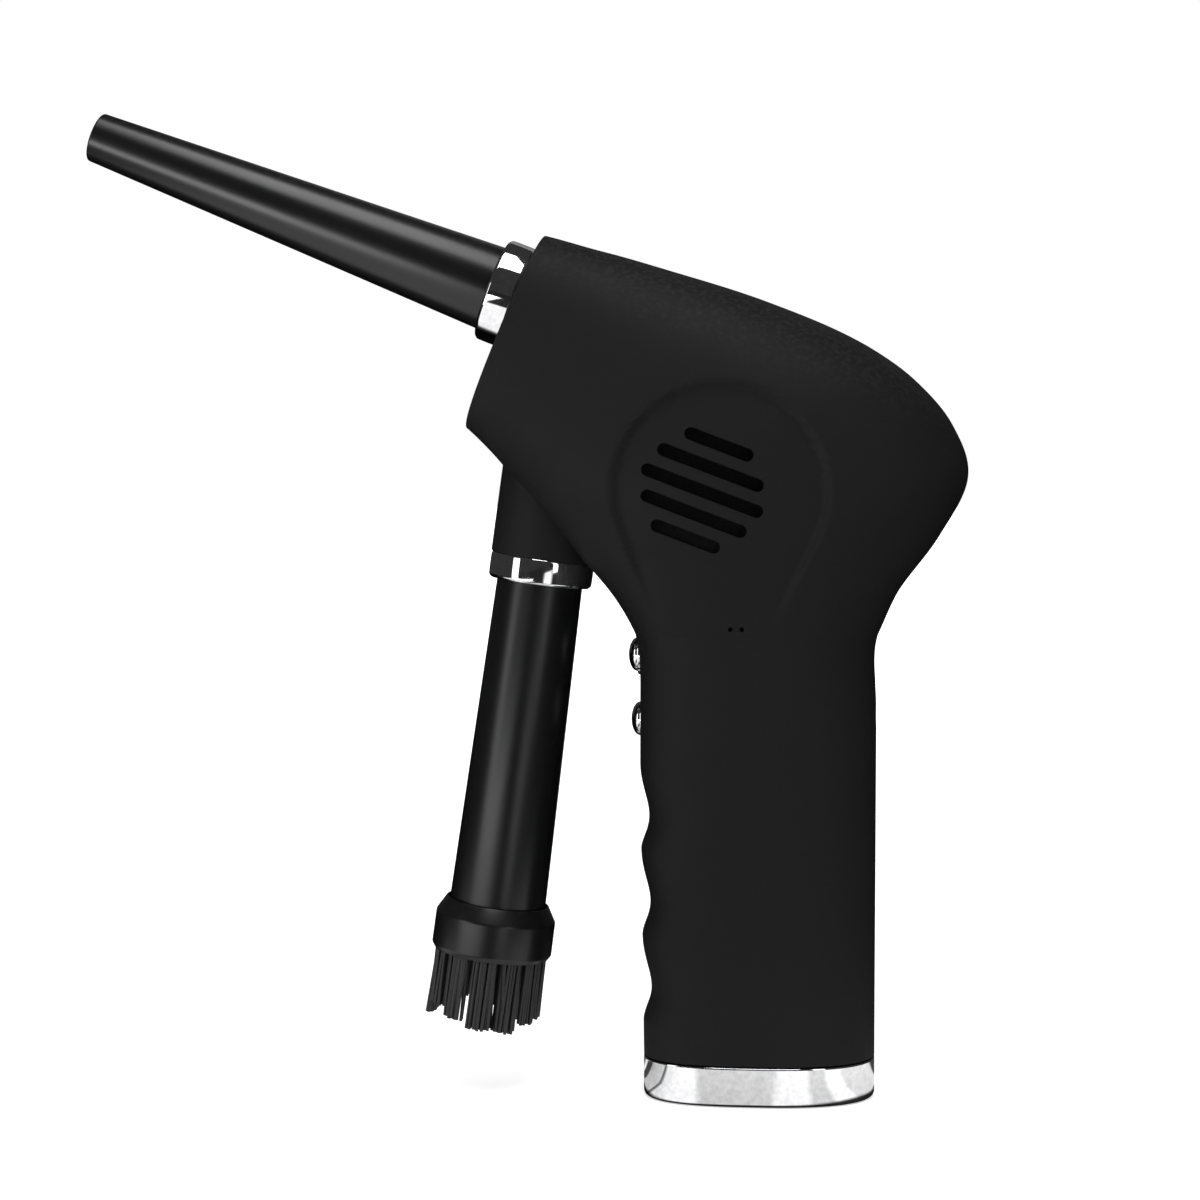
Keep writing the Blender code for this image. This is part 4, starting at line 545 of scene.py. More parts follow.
def rings(inner, outer, half_width, powers, angle, inset=0.0, groove=0.0):
    """r = (|cos a / reach|^p + |sin a / width|^p)^(-1/p); a groove pushes the inner side in."""
    spread = outer - inner
    length = np.linalg.norm(spread, axis=1, keepdims=True)
    unit = spread / length
    reach, width = length / 2 - inset, half_width[:, None] - inset
    cosine, sine = np.cos(angle)[None], np.sin(angle)[None]
    power = np.where(cosine > 0, powers[:, 1:], powers[:, :1])
    r = (np.abs(cosine / reach) ** power + np.abs(sine / width) ** power) ** (-1 / power)
    u = r * cosine
    u = u + np.reshape(groove, (-1, 1)) * np.where(u < 0, np.abs(u / reach) ** power, 0)
    centre = (inner + outer) / 2
    return np.stack([centre[:, :1] + unit[:, :1] * u, r * sine, centre[:, 1:] + unit[:, 1:] * u], -1)


def smooth(low, high, value):
    """3t^2 - 2t^3 between low and high."""
    t = np.clip((value - low) / (high - low), 0, 1)
    return t * t * (3 - 2 * t)


print("sections ready")

# %% [markdown]
# The head's shape is a short table: how far the inner and the outer edge of a section lie from the pivot
# line, and half its width. A curve that passes through every row fills in the rest.

# %% The head's sections
HEAD = np.array([  # angle in degrees, inner edge, outer edge, half width
    (0.0, 54.7, 106.9, 18.2), (5.0, 52.5, 111.9, 20.4), (10.0, 50.3, 121.6, 23.0),
    (15.0, 48.1, 130.2, 25.2), (20.0, 46.2, 130.4, 26.6), (25.0, 44.9, 127.0, 27.0),
    (30.0, 43.9, 121.8, 26.6), (40.0, 43.1, 109.9, 24.2), (50.0, 43.9, 100.6, 20.8),
    (60.0, 45.8, 94.8, 17.6), (67.8, 47.8, 92.4, 15.6)])
LAST_ROW = len(HEAD) - 1 - 0.001
PIVOT = np.array([-81.65, 100.0])


def head_rows(place):
    """Rows at fractional places in the table, on the curve that passes through every row."""
    index = np.minimum(place.astype(int), len(HEAD) - 2)
    t = (place - index)[:, None]
    row = [HEAD[np.clip(index + k, 0, len(HEAD) - 1)] for k in (-1, 0, 1, 2)]
    return (((-t + 2) * t - 1) * t / 2 * row[0] + ((3 * t - 5) * t * t + 2) / 2 * row[1]
            + ((-3 * t + 4) * t + 1) * t / 2 * row[2] + (t - 1) * t * t / 2 * row[3])


def head_rings(rows, angle, inset=0.0, back=0.0):
    """Rings that fan out round the pivot line, each moved back along its own normal."""
    turn = np.radians(rows[:, 0])
    ray = np.stack([np.cos(turn), np.sin(turn)], -1)
    normal = np.stack([np.sin(turn), -np.cos(turn)], -1)
    pivot = PIVOT + normal * np.reshape(back, (-1, 1))
    blend = smooth(0, 20, rows[:, 0])
    powers = np.stack([FRONT_POWER - 0.2 * blend, REAR_POWER + 0 * blend], -1)
    return rings(pivot + ray * rows[:, 1:2], pivot + ray * rows[:, 2:3], rows[:, 3], powers, angle,
                 np.reshape(inset, (-1, 1)))


print("head rows:", len(HEAD))

# %% [markdown]
# The grip has three finger grooves in front, each deepest below its middle. Above them its sides swing
# out into the head's first section without a kink.

# %% The grip's sections
GRIP_HALF_DEPTH, GRIP_HALF_WIDTH, GRIP_LEAN = 25.0, 16.0, 0.9
GRIP_FOOT, GRIP_LEAN_END = 8.8, 70.0
BLEND_FOOT, BLEND_HEIGHT = 85.0, 15.0
FRONT_SLOPE, REAR_SLOPE, SIDE_SLOPE = -0.25, 0.29, 0.13
GROOVES, GROOVE_TOP, GROOVE_PITCH, GROOVE_DEPTH = 3, 72.3, 18.7, 1.85


def finger_grooves(height):
    """Valleys: depth * sin(pi s^1.42)^1.45, where s runs from 0 at the top of each to 1 at its foot."""
    below = (GROOVE_TOP - height) / GROOVE_PITCH
    share = np.clip(below, 0, GROOVES - 0.0001) % 1.0
    valley = GROOVE_DEPTH * np.sin(math.pi * share ** 1.42) ** 1.45
    return np.where((below > 0) & (below < GROOVES), valley, 0.0)


def grip_rings(height, angle, inset=0.0, grooved=False, joined=False):
    """Flat rings up the grip. Joined, they curve into the head's first section with its own slope."""
    front = -GRIP_HALF_DEPTH - GRIP_LEAN * np.clip((height - GRIP_FOOT) / (GRIP_LEAN_END - GRIP_FOOT), 0, 1)
    rear, width = np.full_like(height, GRIP_HALF_DEPTH), np.full_like(height, GRIP_HALF_WIDTH)
    if joined:
        t = np.clip((height - BLEND_FOOT) / BLEND_HEIGHT, 0, 1)
        rise, slope = t * t * (3 - 2 * t), t * t * (t - 1) * BLEND_HEIGHT
        head_front = PIVOT[0] + HEAD[0, 1]
        front = front + rise * (head_front + GRIP_HALF_DEPTH + GRIP_LEAN) + slope * FRONT_SLOPE
        rear = rear + rise * (PIVOT[0] + HEAD[0, 2] - GRIP_HALF_DEPTH) + slope * REAR_SLOPE
        width = width + rise * (HEAD[0, 3] - GRIP_HALF_WIDTH) + slope * SIDE_SLOPE
    groove = finger_grooves(height) if grooved else 0.0 * height
    powers = np.tile([FRONT_POWER, REAR_POWER], (len(height), 1))
    return rings(np.stack([front, height], -1), np.stack([rear, height], -1), width, powers, angle,
                 np.reshape(inset, (-1, 1)), groove)


print("grip sections ready")

# %% [markdown]
# The vents sit in a shallow recess shaped like a shield. A smooth step across its edge presses it into
# the surface, and it fades out towards the grip. The distance to two circles and their common tangents, a
# round cone, gives the step its place.

# %% Press the shield into the side
SHIELD_TOP, SHIELD_TOP_RADIUS = (-8.0, 131.0), 22.4
SHIELD_FOOT, SHIELD_FOOT_RADIUS = (-9.5, 103.0), 11.5
SHIELD_DEPTH, SHIELD_EDGE, SHIELD_FADE = 1.5, (-1.3, 0.8), (101.0, 118.0)
SIDE_WIDTH, SIDE_STEP = 24.0, (0.35, 0.75)


def to_round_cone(x, z, big, big_radius, small, small_radius):
    """Signed distance to two circles joined by their tangents, negative inside."""
    axis = np.array(small, float) - np.array(big, float)
    length = np.linalg.norm(axis)
    axis /= length
    dx, dz = x - big[0], z - big[1]
    down = dx * axis[0] + dz * axis[1]
    out = np.abs(dx * -axis[1] + dz * axis[0])
    slope = (big_radius - small_radius) / length
    rise = math.sqrt(1 - slope * slope)
    key = -slope * out + rise * down
    flank = out * rise + down * slope - big_radius
    return np.where(key < 0, np.hypot(out, down) - big_radius,
                    np.where(key > rise * length, np.hypot(out, down - length) - small_radius, flank))


def press_shield(points):
    """Moves y inwards by depth * step across the edge * fade at the foot * share of the flat side."""
    distance = to_round_cone(points[..., 0], points[..., 2], SHIELD_TOP, SHIELD_TOP_RADIUS, SHIELD_FOOT,
                             SHIELD_FOOT_RADIUS)
    depth = SHIELD_DEPTH * (1 - smooth(*SHIELD_EDGE, distance)) * smooth(*SHIELD_FADE, points[..., 2])
    flat_side = smooth(*SIDE_STEP, np.abs(points[..., 1]) / SIDE_WIDTH)
    points[..., 1] -= np.sign(points[..., 1]) * depth * flat_side
    return points


print("shield depth:", SHIELD_DEPTH, "mm")

# %% [markdown]
# Each half is a closed solid: its rows of points, a cap at each end and a flat face at the seam. An exact
# Boolean then cuts it in one step with everything that goes through it, which keeps the surface clean.

# %% Helpers for solids that cut
HALF_SEAM = 0.15


def half_turn(side, columns):
    """Angles from the front over one side to the rear; side is -1 for the left and 1 for the right."""
    return side * np.linspace(0, math.pi, columns)


def end_caps(rows, columns):
    """The point numbers of a grid, and the faces that close its first and its last row."""
    number = np.arange(rows * columns).reshape(rows, columns)
    return number, [number[0, ::-1].tolist(), number[-1].tolist()]


def closed_half(name, points, side, seam=HALF_SEAM):
    """Keeps y half a seam away from the middle, then closes both ends and the seam with a face."""
    points[..., 1] = side * np.maximum(np.abs(points[..., 1]), seam)
    number, caps = end_caps(*points.shape[:2])
    caps.append(np.concatenate([number[::-1, 0], number[:, -1]]).tolist())
    return grid_object(name, points * MM, closed_columns=False, caps=caps)


def solid_rod(name, profile, place, around=64):
    """A turned solid from (radius, height) corners, closed at both ends by a face."""
    return grid_object(name, turned_points(np.array(profile, float), place, around),
                       caps=end_caps(len(profile), around)[1])


def obround(centre, spread, radius, tilt, steps=14):
    """A slot's outline: two half circles whose centres are spread apart along the tilt."""
    turn = np.concatenate([np.linspace(-1, 1, steps), np.linspace(1, 3, steps)]) * math.pi / 2 + tilt
    end = np.where(np.arange(2 * steps) < steps, 0.5, -0.5) * spread
    return np.stack([centre[0] + end * math.cos(tilt) + radius * np.cos(turn),
                     centre[1] + end * math.sin(tilt) + radius * np.sin(turn)], -1)


def straight_cutter(name, outline, low, high, along_y=True):
    """The outline, in x and z or in y and z, drawn out along the third direction."""
    span = np.array([low, high], float)[:, None] + 0 * outline[None, :, 0]
    first, second = (np.broadcast_to(outline[None, :, k], span.shape) for k in range(2))
    grid = np.stack([first, span, second] if along_y else [span, first, second], -1)
    return grid_object(name, grid * MM, caps=end_caps(*span.shape)[1])


def combine(body, operation, others):
    """One exact Boolean of the body with all the others, which are then removed."""
    group = bpy.data.collections.new("cutters")
    for other in others:
        group.objects.link(face_out(other))
    step = face_out(body).modifiers.new("step", "BOOLEAN")
    step.operation, step.solver, step.operand_type, step.collection = operation, "EXACT", "COLLECTION", group
    graph = bpy.context.evaluated_depsgraph_get()
    result = bpy.data.meshes.new_from_object(body.evaluated_get(graph))
    body.modifiers.clear()
    body.data = result
    for other in list(others):
        bpy.data.objects.remove(other)
    bpy.data.collections.remove(group)
    return body


print("cutting helpers ready")

# %% [markdown]
# These solids take away what isn't there on the real half: the hollow inside, both ports, five slanted
# vents, the charging recess and the buttons' holes. The left half has two pinholes, and the right half
# has the wells for the screws.

# %% Shape the hollow and the holes
WALL = 2.2
INNER_HALF_WIDTH = 21.6
FRONT_BORE = [(9.6, -11.6), (10.1, -11.6), (10.1, -5.6), (11.5, -5.6), (11.5, 2.2)]
LOWER_BORE = [(9.8, -33.6), (9.8, -9.4), (10.1, -9.4), (10.1, 2.2)]
BUTTON_BORE = [(4.65, 12.0), (4.65, 40.0)]
VENT_LENGTHS = (12.4, 20.7, 24.1, 20.6, 12.5)
VENT_MIDDLE, VENT_PITCH, VENT_RADIUS = (-11.75, 131.1), 5.07, 1.35
VENT_REACH, VENT_TILT = (15.0, 40.0), math.radians(-20.8)
VENT_ROW_TILT = VENT_TILT - math.pi / 2 + math.radians(0.7)
RECESS_HEIGHT, RECESS_SPREAD, RECESS_RADIUS = 85.3, 5.7, 2.5
PINHOLES, PINHOLE_HEIGHT = (-6.0, -3.6), 102.0
SCREWS = ((18.0, 158.5), (37.0, 133.0), (20.0, 107.0), (-25.0, 106.0), (-55.8, 148.3))
WELL_RADIUS, WELL_FOOT, WELL_END = 2.3, -4.0, -40.0


def along_left(x, z):
    """A place on the middle plane whose axis points to the left side, which is towards -Y."""
    return np.array([x, 0, z]), np.array([1.0, 0, 0]), np.array([0, 0, 1.0]), np.array([0, -1.0, 0])


def hollow_inside(side):
    """The same sections a wall's thickness further in, straight at the foot and short of the face."""
    angle = half_turn(side, 25)
    low = grip_rings(np.array([0.0, 11.0, 13.2, 70.0, 72.0, 92.5]), angle, [4.1, 4.1, WALL, WALL, WALL, WALL])
    low[2:4, :, 0] += 1.8 * smooth(0.2, -0.6, np.cos(angle))[None]
    high = head_rings(head_rows(np.linspace(0, LAST_ROW, 14)), angle, WALL)
    face_steps = [WALL, 3.1, 5.2]
    face = head_rings(HEAD[[-1, -1, -1]], angle, face_steps, face_steps)
    points = np.concatenate([low, high[:-1], face])
    points[..., 1] = np.clip(points[..., 1], -INNER_HALF_WIDTH, INNER_HALF_WIDTH)
    return closed_half("hollow", points, side, 0.0)


def vent_cutters(side):
    """Five slots, evenly spaced along a line that is almost square to them."""
    for k, length in enumerate(VENT_LENGTHS):
        step = (k - len(VENT_LENGTHS) // 2) * VENT_PITCH
        centre = (VENT_MIDDLE[0] + step * math.cos(VENT_ROW_TILT),
                  VENT_MIDDLE[1] + step * math.sin(VENT_ROW_TILT))
        slot_outline = obround(centre, length, VENT_RADIUS, VENT_TILT)
        yield straight_cutter("vent", slot_outline, *sorted(side * end for end in VENT_REACH))


def shell_cutters(side):
    """Everything that is taken out of one half."""
    cutters = [hollow_inside(side)]
    cutters.append(solid_rod("front", FRONT_BORE, FRONT))
    cutters.append(solid_rod("lower", LOWER_BORE, LOWER))
    cutters.extend(vent_cutters(side))
    recess = obround((0, RECESS_HEIGHT), RECESS_SPREAD, RECESS_RADIUS, math.pi / 2)
    cutters.append(straight_cutter("recess", recess, 20.6, 30.0, False))
    for height in BUTTON_HEIGHTS.values():
        cutters.append(solid_rod("bore", BUTTON_BORE, along((0, 0, height), TOWARDS_FRONT)))
    if side < 0:
        pinhole = [(0.5, 10.0), (0.5, 40.0)]
        for x in PINHOLES:
            cutters.append(solid_rod("pinhole", pinhole, along_left(x, PINHOLE_HEIGHT), 16))
    else:
        well = [(WELL_RADIUS, WELL_END), (WELL_RADIUS, WELL_FOOT)]
        for x, z in SCREWS:
            cutters.append(solid_rod("well", well, along_left(x, z), 40))
    return cutters


print("vents:", len(VENT_LENGTHS), "screws:", len(SCREWS))

# %% [markdown]
# Both halves come from one function. The rows start with a rebate that the foot band hides and end in the
# flat face with its rounded rim. The branch for the lower port is joined before anything is cut.

# %% Model both halves of the housing
RIM_RADIUS, RIM_ROWS = 3.0, 9
COLUMNS, GRIP_ROWS, HEAD_ROWS, QUICK_SHARE = 150, 150, 170, 0.45
BRANCH_PROFILE = [(11.2, -40.3), (11.35, -7.2), (11.15, -7.0)]
FAR_AWAY = np.array([(-250, -50), (150, -50), (150, 300), (-250, 300)], float)


def housing_half(name, side):
    """Rows up the grip and round the head, closed, joined to the moulded branch and then cut."""
    fine = 1.0
    angle = half_turn(side, int(COLUMNS * fine))
    foot = grip_rings(np.array([2.7, GRIP_FOOT]), angle, 1.9)
    edge = grip_rings(np.array([GRIP_FOOT, 8.95]), angle, [0.15, 0.0])
    grip = grip_rings(np.linspace(9.3, 99.6, int(GRIP_ROWS * fine)), angle, grooved=True, joined=True)
    head = head_rings(head_rows(np.linspace(0, LAST_ROW, int(HEAD_ROWS * fine))), angle)
    turn = np.linspace(0, math.pi / 2, RIM_ROWS)
    rim_in, rim_back = RIM_RADIUS * (1 - np.cos(turn)), RIM_RADIUS * (1 - np.sin(turn))
    face = head_rings(np.tile(HEAD[-1], (len(turn), 1)), angle, rim_in, rim_back)
    points = press_shield(np.concatenate([foot, edge, grip, head[:-1], face]))
    body = closed_half(name, points, side)
    combine(body, "UNION", [solid_rod("branch", BRANCH_PROFILE, LOWER, 120)])
    other_side = straight_cutter("other_side", FAR_AWAY, *sorted((side * HALF_SEAM, -side * 90.0)))
    return combine(body, "DIFFERENCE", [other_side] + shell_cutters(side))


stand_for(even_out(housing_half("left_shell", -1), 32), "left_housing")
right_shell = stand_for(even_out(housing_half("right_shell", 1), 32), "right_housing")

# %% [markdown]
# The screws on the right side sit at the bottom of round wells. A sleeve with a seat lines each well.
# Rays from outside find how far out it may reach where the surface curves away.

# %% Line the screw wells
SLEEVE_RADIUS, SEAT_RADIUS, SEAT_TOP, BELOW_SKIN = 3.0, 1.3, -3.4, 0.6
PROBES, PROBE_RADIUS, OUTSIDE = np.arange(8) * math.tau / 8, 3.2, 90.0

skin = BVHTree.FromPolygons([v.co.copy() for v in right_shell.data.vertices],
                            [tuple(p.vertices) for p in right_shell.data.polygons])
for number, (x, z) in enumerate(SCREWS):
    starts = [Vector((x + PROBE_RADIUS * math.cos(t), OUTSIDE, z + PROBE_RADIUS * math.sin(t))) * MM
              for t in PROBES]
    hits = [skin.ray_cast(start, Vector((0, -1, 0)))[0] for start in starts]
    end = -(min(hit.y for hit in hits if hit) / MM - BELOW_SKIN)
    sleeve_profile = rounded([
        (SEAT_RADIUS, SEAT_TOP, 0.05), (SEAT_RADIUS, WELL_FOOT, 0.05), (WELL_RADIUS, WELL_FOOT, 0.05),
        (WELL_RADIUS, end, 0.05), (SLEEVE_RADIUS, end, 0.05), (SLEEVE_RADIUS, SEAT_TOP, 0.05)], steps=2)
    sleeve = even_out(turned(f"well_sleeve_{number + 1}", sleeve_profile, along_left(x, z), 40))
    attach(sleeve, nodes["right_housing"]["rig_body"])
    sleeve.data.materials.append(looks["soft_black"])
print("sleeves:", len(SCREWS))

# %% [markdown]
# ## The foot band
#
# The chrome band follows the grip's own section. Its edges are rounded, and the upper one turns in under
# the housing.

# %% The chrome band round the foot
BAND_ROWS = np.array([  # height and how far in from the grip's own section
    (0.0, 1.6), (0.0, 0.9), (0.12, 0.45), (0.35, 0.16), (0.75, 0.0), (4.0, 0.0), (8.1, 0.0), (8.36, 0.02),
    (8.46, 0.08), (8.5, 0.22), (8.5, 1.6)])
BAND_COLUMNS = 220
whole_turn = np.arange(BAND_COLUMNS) * math.tau / BAND_COLUMNS
band_points = grip_rings(BAND_ROWS[:, 0], whole_turn, BAND_ROWS[:, 1]) * MM
stand_for(even_out(grid_object("foot_band", band_points, closed_rows=True), 50), "base_ring")

# %% [markdown]
# ## The floor
#
# A product like this is shot on a white sweep in a dim room. The floor is one large plain sheet of paper.
# Its material adds a little of its own brightness for the camera, more of it far out, and still keeps the
# shadow near the object.
#
# Polished metal shows the room rather than itself, so photographers lay white and black cards round it.
# Here those cards are painted into the same sheet, for mirrored rays only. They are painted reflections:
# the bright ones glow, as lamps would, but only mirrored rays see them.

# %% Lay the floor
FLOOR_HALF, FLOOR_HEIGHT = 6.0, -0.0001


def plain_sheet(name, half, height, steps=9):
    """A square sheet: x and y run over a grid from -half to half, at one height."""
    x, y = np.meshgrid(np.linspace(-half, half, steps), np.linspace(-half, half, steps), indexing="ij")
    points = np.stack([x, y, np.full_like(x, height)], -1).reshape(-1, 3)
    corner = (np.arange(steps - 1)[:, None] * steps + np.arange(steps - 1)).ravel()
    faces = np.stack([corner, corner + steps, corner + steps + 1, corner + 1], -1)
    return add_piece(name, points.tolist(), faces.tolist())


floor = plain_sheet("floor", FLOOR_HALF, FLOOR_HEIGHT)
print("floor:", len(floor.data.polygons), "faces")

# %% [markdown]
# A ramp turns a value into greys, a fade changes smoothly between two places, and a patch is one fade up
# and one fade down.

# %% Helpers for brightness
def ramp_node(tree, value, stops, interpolation="LINEAR"):
    """A ramp of greys: each stop is a place from 0 to 1 and a brightness."""
    node = add_node(tree, "ShaderNodeValToRGB", _0=value)
    node.color_ramp.interpolation = interpolation
    marks = node.color_ramp.elements
    while len(marks) < len(stops):
        marks.new(0.5)
    for mark, (place, bright) in zip(marks, stops):
        mark.position, mark.color = place, (bright, bright, bright, 1.0)
    return node.outputs[0]


def fade(tree, value, low, high, at_low, at_high):
    """A smooth change of brightness between two places."""
    settings = {"interpolation_type": "SMOOTHSTEP"}
    return add_node(tree, "ShaderNodeMapRange", settings, _0=value, _1=low, _2=high, _3=at_low,
                    _4=at_high).outputs[0]


def patch(tree, value, low, high, edge):
    """One between low and high, with soft edges."""
    rise = fade(tree, value, low - edge, low + edge, 0.0, 1.0)
    return math_node(tree, "MULTIPLY", rise, fade(tree, value, high - edge, high + edge, 1.0, 0.0))


def lit_oblong(tree, across, x_ends, x_edge, y_ends, y_edge):
    """One inside both ranges: the patch along x times the patch along y."""
    return math_node(tree, "MULTIPLY", patch(tree, across.outputs["X"], *x_ends, x_edge),
                     patch(tree, across.outputs["Y"], *y_ends, y_edge))


def mix_node(tree, share, at_zero, at_one):
    """A number that goes from one value to another as the share goes from zero to one."""
    return add_node(tree, "ShaderNodeMix", {"data_type": "FLOAT"}, _0=share, _2=at_zero, _3=at_one).outputs[0]


print("brightness helpers ready")

# %% [markdown]
# A place round the object is an angle: 0.5 is straight towards the photographer, less is to the left and
# more to the right. The foot's outline is a superellipse, and so is the line round it.

# %% Helpers for places on the floor
def turn_about(tree, across, x, y):
    """The angle of a place round the upright line at x and y, as a share of a full turn."""
    right = math_node(tree, "SUBTRACT", across.outputs["X"], x * MM)
    ahead = math_node(tree, "SUBTRACT", y * MM, across.outputs["Y"])
    return math_node(tree, "MULTIPLY_ADD", math_node(tree, "ARCTAN2", right, ahead), 1 / math.tau, 0.5)


def times_outline(tree, across, half_x, half_y, power):
    """(|x / half|^p + |y / half|^p)^(1/p), which is one on the outline and grows outwards."""
    terms = []
    for letter, half in (("X", half_x), ("Y", half_y)):
        share = math_node(tree, "ABSOLUTE", math_node(tree, "DIVIDE", across.outputs[letter], half * MM))
        terms.append(math_node(tree, "POWER", share, power))
    return math_node(tree, "POWER", math_node(tree, "ADD", *terms), 1 / power)


paper = bpy.data.materials.new("paper")
paper.use_nodes = True
tree = paper.node_tree
tree.nodes.clear()
place = add_node(tree, "ShaderNodeTexCoord").outputs["Object"]
across = add_node(tree, "ShaderNodeSeparateXYZ", _0=place)
distance = add_node(tree, "ShaderNodeVectorMath", {"operation": "LENGTH"}, _0=place).outputs["Value"]
print("material:", paper.name)

# %% [markdown]
# The cards near the foot make the band's upright bars, which are painted reflections, and a dark line
# hugs the foot itself: painted shade that the band's lower edge mirrors.

# %% Paint the cards round the band
BAND_CARDS = (  # share of a turn and brightness
    (0.0, 0.05), (0.20, 0.05), (0.222, 0.9), (0.232, 0.9), (0.240, 0.06), (0.275, 0.06), (0.282, 0.50),
    (0.345, 0.54), (0.348, 0.10), (0.354, 0.10), (0.357, 0.72), (0.40, 0.93), (0.428, 0.95), (0.436, 0.56),
    (0.513, 0.60), (0.521, 0.90), (0.560, 0.92), (0.566, 0.62), (0.590, 0.62), (0.598, 0.95), (0.628, 0.95),
    (0.636, 0.68), (0.76, 0.72), (0.775, 0.05), (1.0, 0.05))
CARDS_MIDDLE = (0, 13)
CARDS_END, BEYOND_CARDS = (0.075, 0.10), 0.03
FOOT_OUTLINE = (25.9, 16.0, 2.6)  # half depth, half width and power
DARK_LINE, IN_DARK_LINE = (1.02, 1.09), 0.02

# Painted reflections: this ramp round the object gives the band's bars, seen only in mirrored rays.
band = math_node(tree, "MULTIPLY", ramp_node(tree, turn_about(tree, across, *CARDS_MIDDLE), BAND_CARDS),
                 fade(tree, distance, *CARDS_END, 1.0, BEYOND_CARDS))
# Painted shade: the cards go dark just outside the foot's outline, which the band's lower edge mirrors.
outline = times_outline(tree, across, *FOOT_OUTLINE)
band = math_node(tree, "MULTIPLY", band, fade(tree, outline, *DARK_LINE, IN_DARK_LINE, 1.0))
print("cards round the band:", len(BAND_CARDS), "stops")

# %% [markdown]
# Further out, more cards paint reflections for mirrored rays only. A fan to the right carries the tube's
# streak down to its collar. The mirrored rays of the nozzle come down at the front left, on a faint patch
# near the object and a much brighter one far out. A wedge far behind lights the edges that the view only
# grazes. All of these are painted light that only mirrors see.

# %% Light the patches further out
TUBE_FAN = ((0.0, 0.0), (0.528, 0.0), (0.548, 1.0), (0.572, 1.0), (0.592, 0.0), (1.0, 0.0))
FAN_MIDDLE, FAN_REACH, FAN_EDGE = (-60, 0), (0.13, 1.3), 0.03
FAN_LIGHT, UNDER_LIGHT, AHEAD_LIGHT, BEHIND_LIGHT = 0.9, 0.75, 11.0, 0.5

fan = math_node(tree, "MULTIPLY", ramp_node(tree, turn_about(tree, across, *FAN_MIDDLE), TUBE_FAN, "EASE"),
                patch(tree, distance, *FAN_REACH, FAN_EDGE))
under_nozzle = lit_oblong(tree, across, (-0.34, -0.10), 0.02, (-0.34, 0.02), 0.02)
ahead_of_nozzle = lit_oblong(tree, across, (-0.78, -0.25), 0.04, (-0.95, -0.34), 0.05)
off_centre = math_node(tree, "ABSOLUTE", math_node(tree, "SUBTRACT", turn_about(tree, across, 0, 0), 0.5))
behind = math_node(tree, "MULTIPLY", fade(tree, off_centre, 0.478, 0.490, 0.0, BEHIND_LIGHT),
                   fade(tree, distance, 0.3, 0.5, 0.0, 1.0))
# Painted reflections: every patch adds to the cards, which glow only for mirrored rays.
cards = band
for card, light in ((fan, FAN_LIGHT), (under_nozzle, UNDER_LIGHT), (ahead_of_nozzle, AHEAD_LIGHT)):
    cards = math_node(tree, "MULTIPLY_ADD", card, light, cards)
cards = math_node(tree, "ADD", cards, behind)
print("further out: a fan, two patches and a wedge")

# %% [markdown]
# The camera sees plain paper: its own colour under the lamps plus some glow. Mirrored rays see the same
# paper times the cards, plus a glow from the cards: the painted reflections.

# %% Put the paper together
SPECKLE_SCALE, PAPER_TONES = 300.0, (0.875, 0.885)
GLOW_PLACES, GLOW_NEAR, GLOW_FAR, MIRROR_GLOW = (0.15, 1.6), 0.50, 1.1, 0.48


def seen_directly(tree, path):
    """One for rays of the camera and for those that come through something clear."""
    return math_node(tree, "MAXIMUM", path.outputs["Is Camera Ray"], path.outputs["Is Transmission Ray"])


path = add_node(tree, "ShaderNodeLightPath")
mirrored = path.outputs["Is Glossy Ray"]
speckle = add_node(tree, "ShaderNodeTexNoise", Vector=place, Scale=SPECKLE_SCALE).outputs["Fac"]
tone = add_node(tree, "ShaderNodeMapRange", _0=speckle, _3=PAPER_TONES[0], _4=PAPER_TONES[1]).outputs[0]
card_tone = math_node(tree, "MULTIPLY", tone, math_node(tree, "MINIMUM", cards, 1.0))
camera_glow = math_node(tree, "MULTIPLY", fade(tree, distance, *GLOW_PLACES, GLOW_NEAR, GLOW_FAR),
                        seen_directly(tree, path))
# Painted reflections: the cards glow for mirrored rays, as if lit, with no lamp there.
mirror_glow = math_node(tree, "MULTIPLY", math_node(tree, "MULTIPLY", cards, MIRROR_GLOW), mirrored)
diffuse = add_node(tree, "ShaderNodeBsdfDiffuse", Color=mix_node(tree, mirrored, tone, card_tone))
glow = add_node(tree, "ShaderNodeEmission", Strength=math_node(tree, "ADD", camera_glow, mirror_glow))
both = add_node(tree, "ShaderNodeAddShader", _0=diffuse.outputs[0], _1=glow.outputs[0])
add_node(tree, "ShaderNodeOutputMaterial", Surface=both.outputs[0])
floor.data.materials.append(paper)
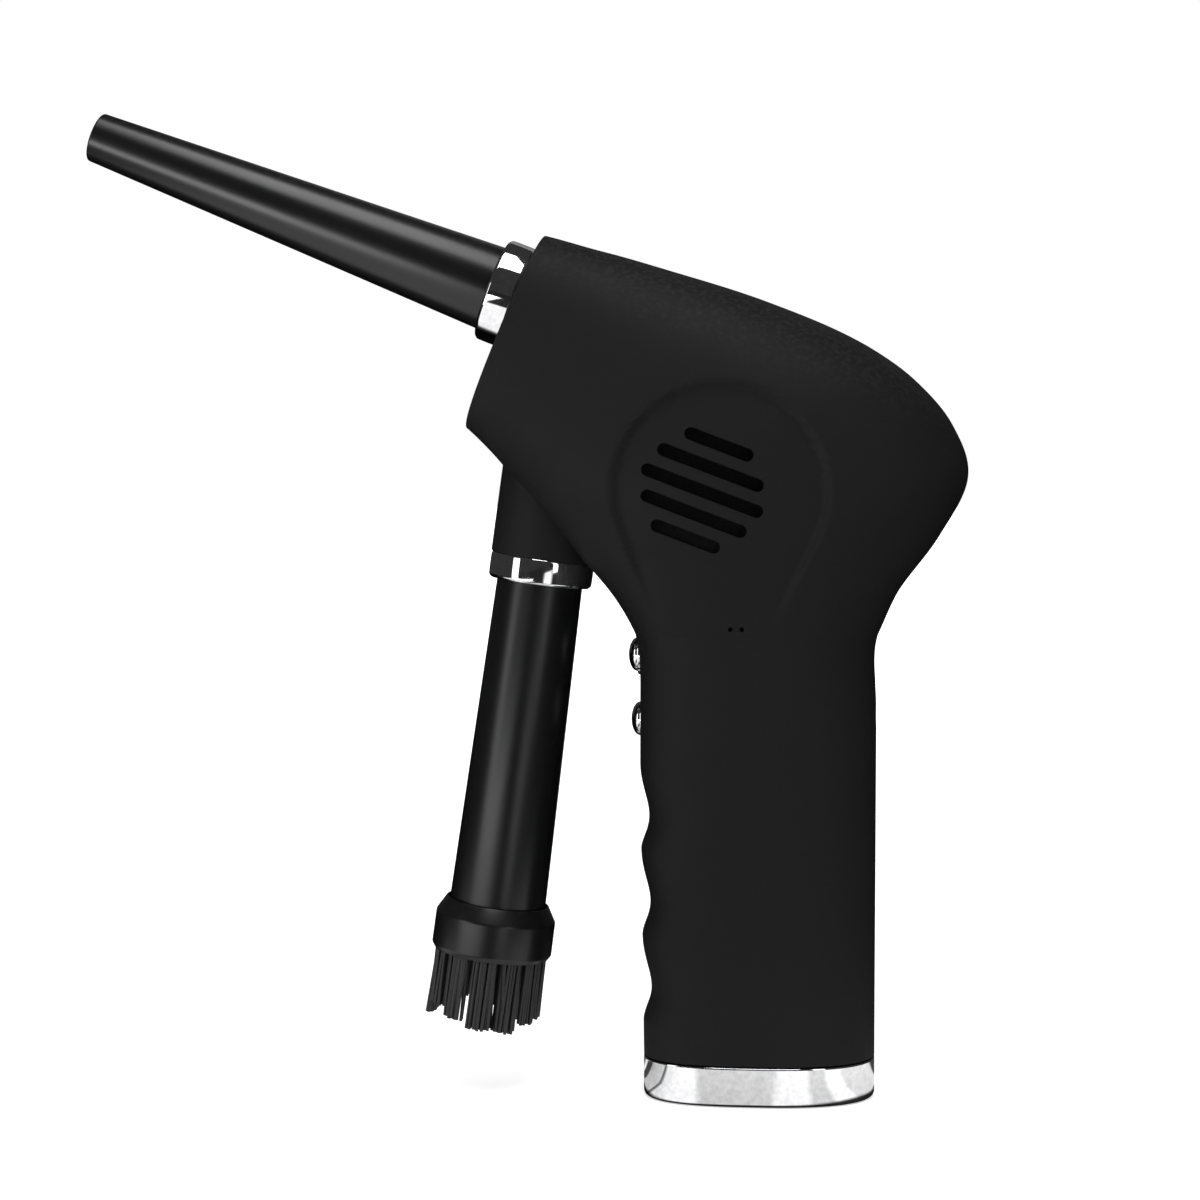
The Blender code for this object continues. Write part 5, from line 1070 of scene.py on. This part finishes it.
print("paper ready:", len(tree.nodes), "nodes")

# %% [markdown]
# ## The room and the lamps
#
# The world is white where the camera looks past the object. Mirrored rays see a dim room, so that black
# plastic stays black and the chrome keeps its dark bars. What is left lights the scene evenly from all
# sides.

# %% Set up the room
ROOM_LIGHT, ROOM_IN_MIRRORS, WHITE = 0.74, 0.035, 1.0

world = bpy.data.worlds.new("room")
world.use_nodes = True
bpy.context.scene.world = world
tree = world.node_tree
tree.nodes.clear()
path = add_node(tree, "ShaderNodeLightPath")
ambient = mix_node(tree, path.outputs["Is Glossy Ray"], ROOM_LIGHT, ROOM_IN_MIRRORS)
strength = mix_node(tree, seen_directly(tree, path), ambient, WHITE)
background = add_node(tree, "ShaderNodeBackground", Color=(1, 1, 1, 1), Strength=strength)
add_node(tree, "ShaderNodeOutputWorld", Surface=background.outputs[0])
print("room:", ROOM_LIGHT, "of white, and", ROOM_IN_MIRRORS, "in mirrors")

# %% [markdown]
# Each soft box is a rectangular area lamp that faces the object. The left one draws the bright streak
# down the brush tube, the right one a fainter streak beside it, and the top one the upper streak along
# the nozzle. The one behind fills.

# %% Hang the soft boxes
SOFT_BOXES = {  # direction from the object, distance, width and height in metres, power in watts
    "left_box": ((-0.80, -0.59, 0.05), 0.95, 0.26, 0.90, 1.5),
    "right_box": ((0.574, -0.819, 0.05), 0.95, 0.18, 0.90, 1.0),
    "top_box": ((0.03, -0.27, 0.88), 0.92, 0.42, 0.62, 4.0),
    "back_box": ((0.20, 0.80, 0.56), 1.10, 0.90, 0.40, 0.25),
}
for name, (way, reach, width, height, power) in SOFT_BOXES.items():
    lamp = bpy.data.lights.new(name, "AREA")
    lamp.shape = "RECTANGLE"
    lamp.size, lamp.size_y, lamp.energy = width, height, power
    box = bpy.data.objects.new(name, lamp)
    bpy.context.scene.collection.objects.link(box)
    way = Vector(way).normalized()
    box.location = LOOKS_AT + way * reach
    box.rotation_euler = way.to_track_quat("Z", "Y").to_euler()
print("soft boxes:", len(SOFT_BOXES))
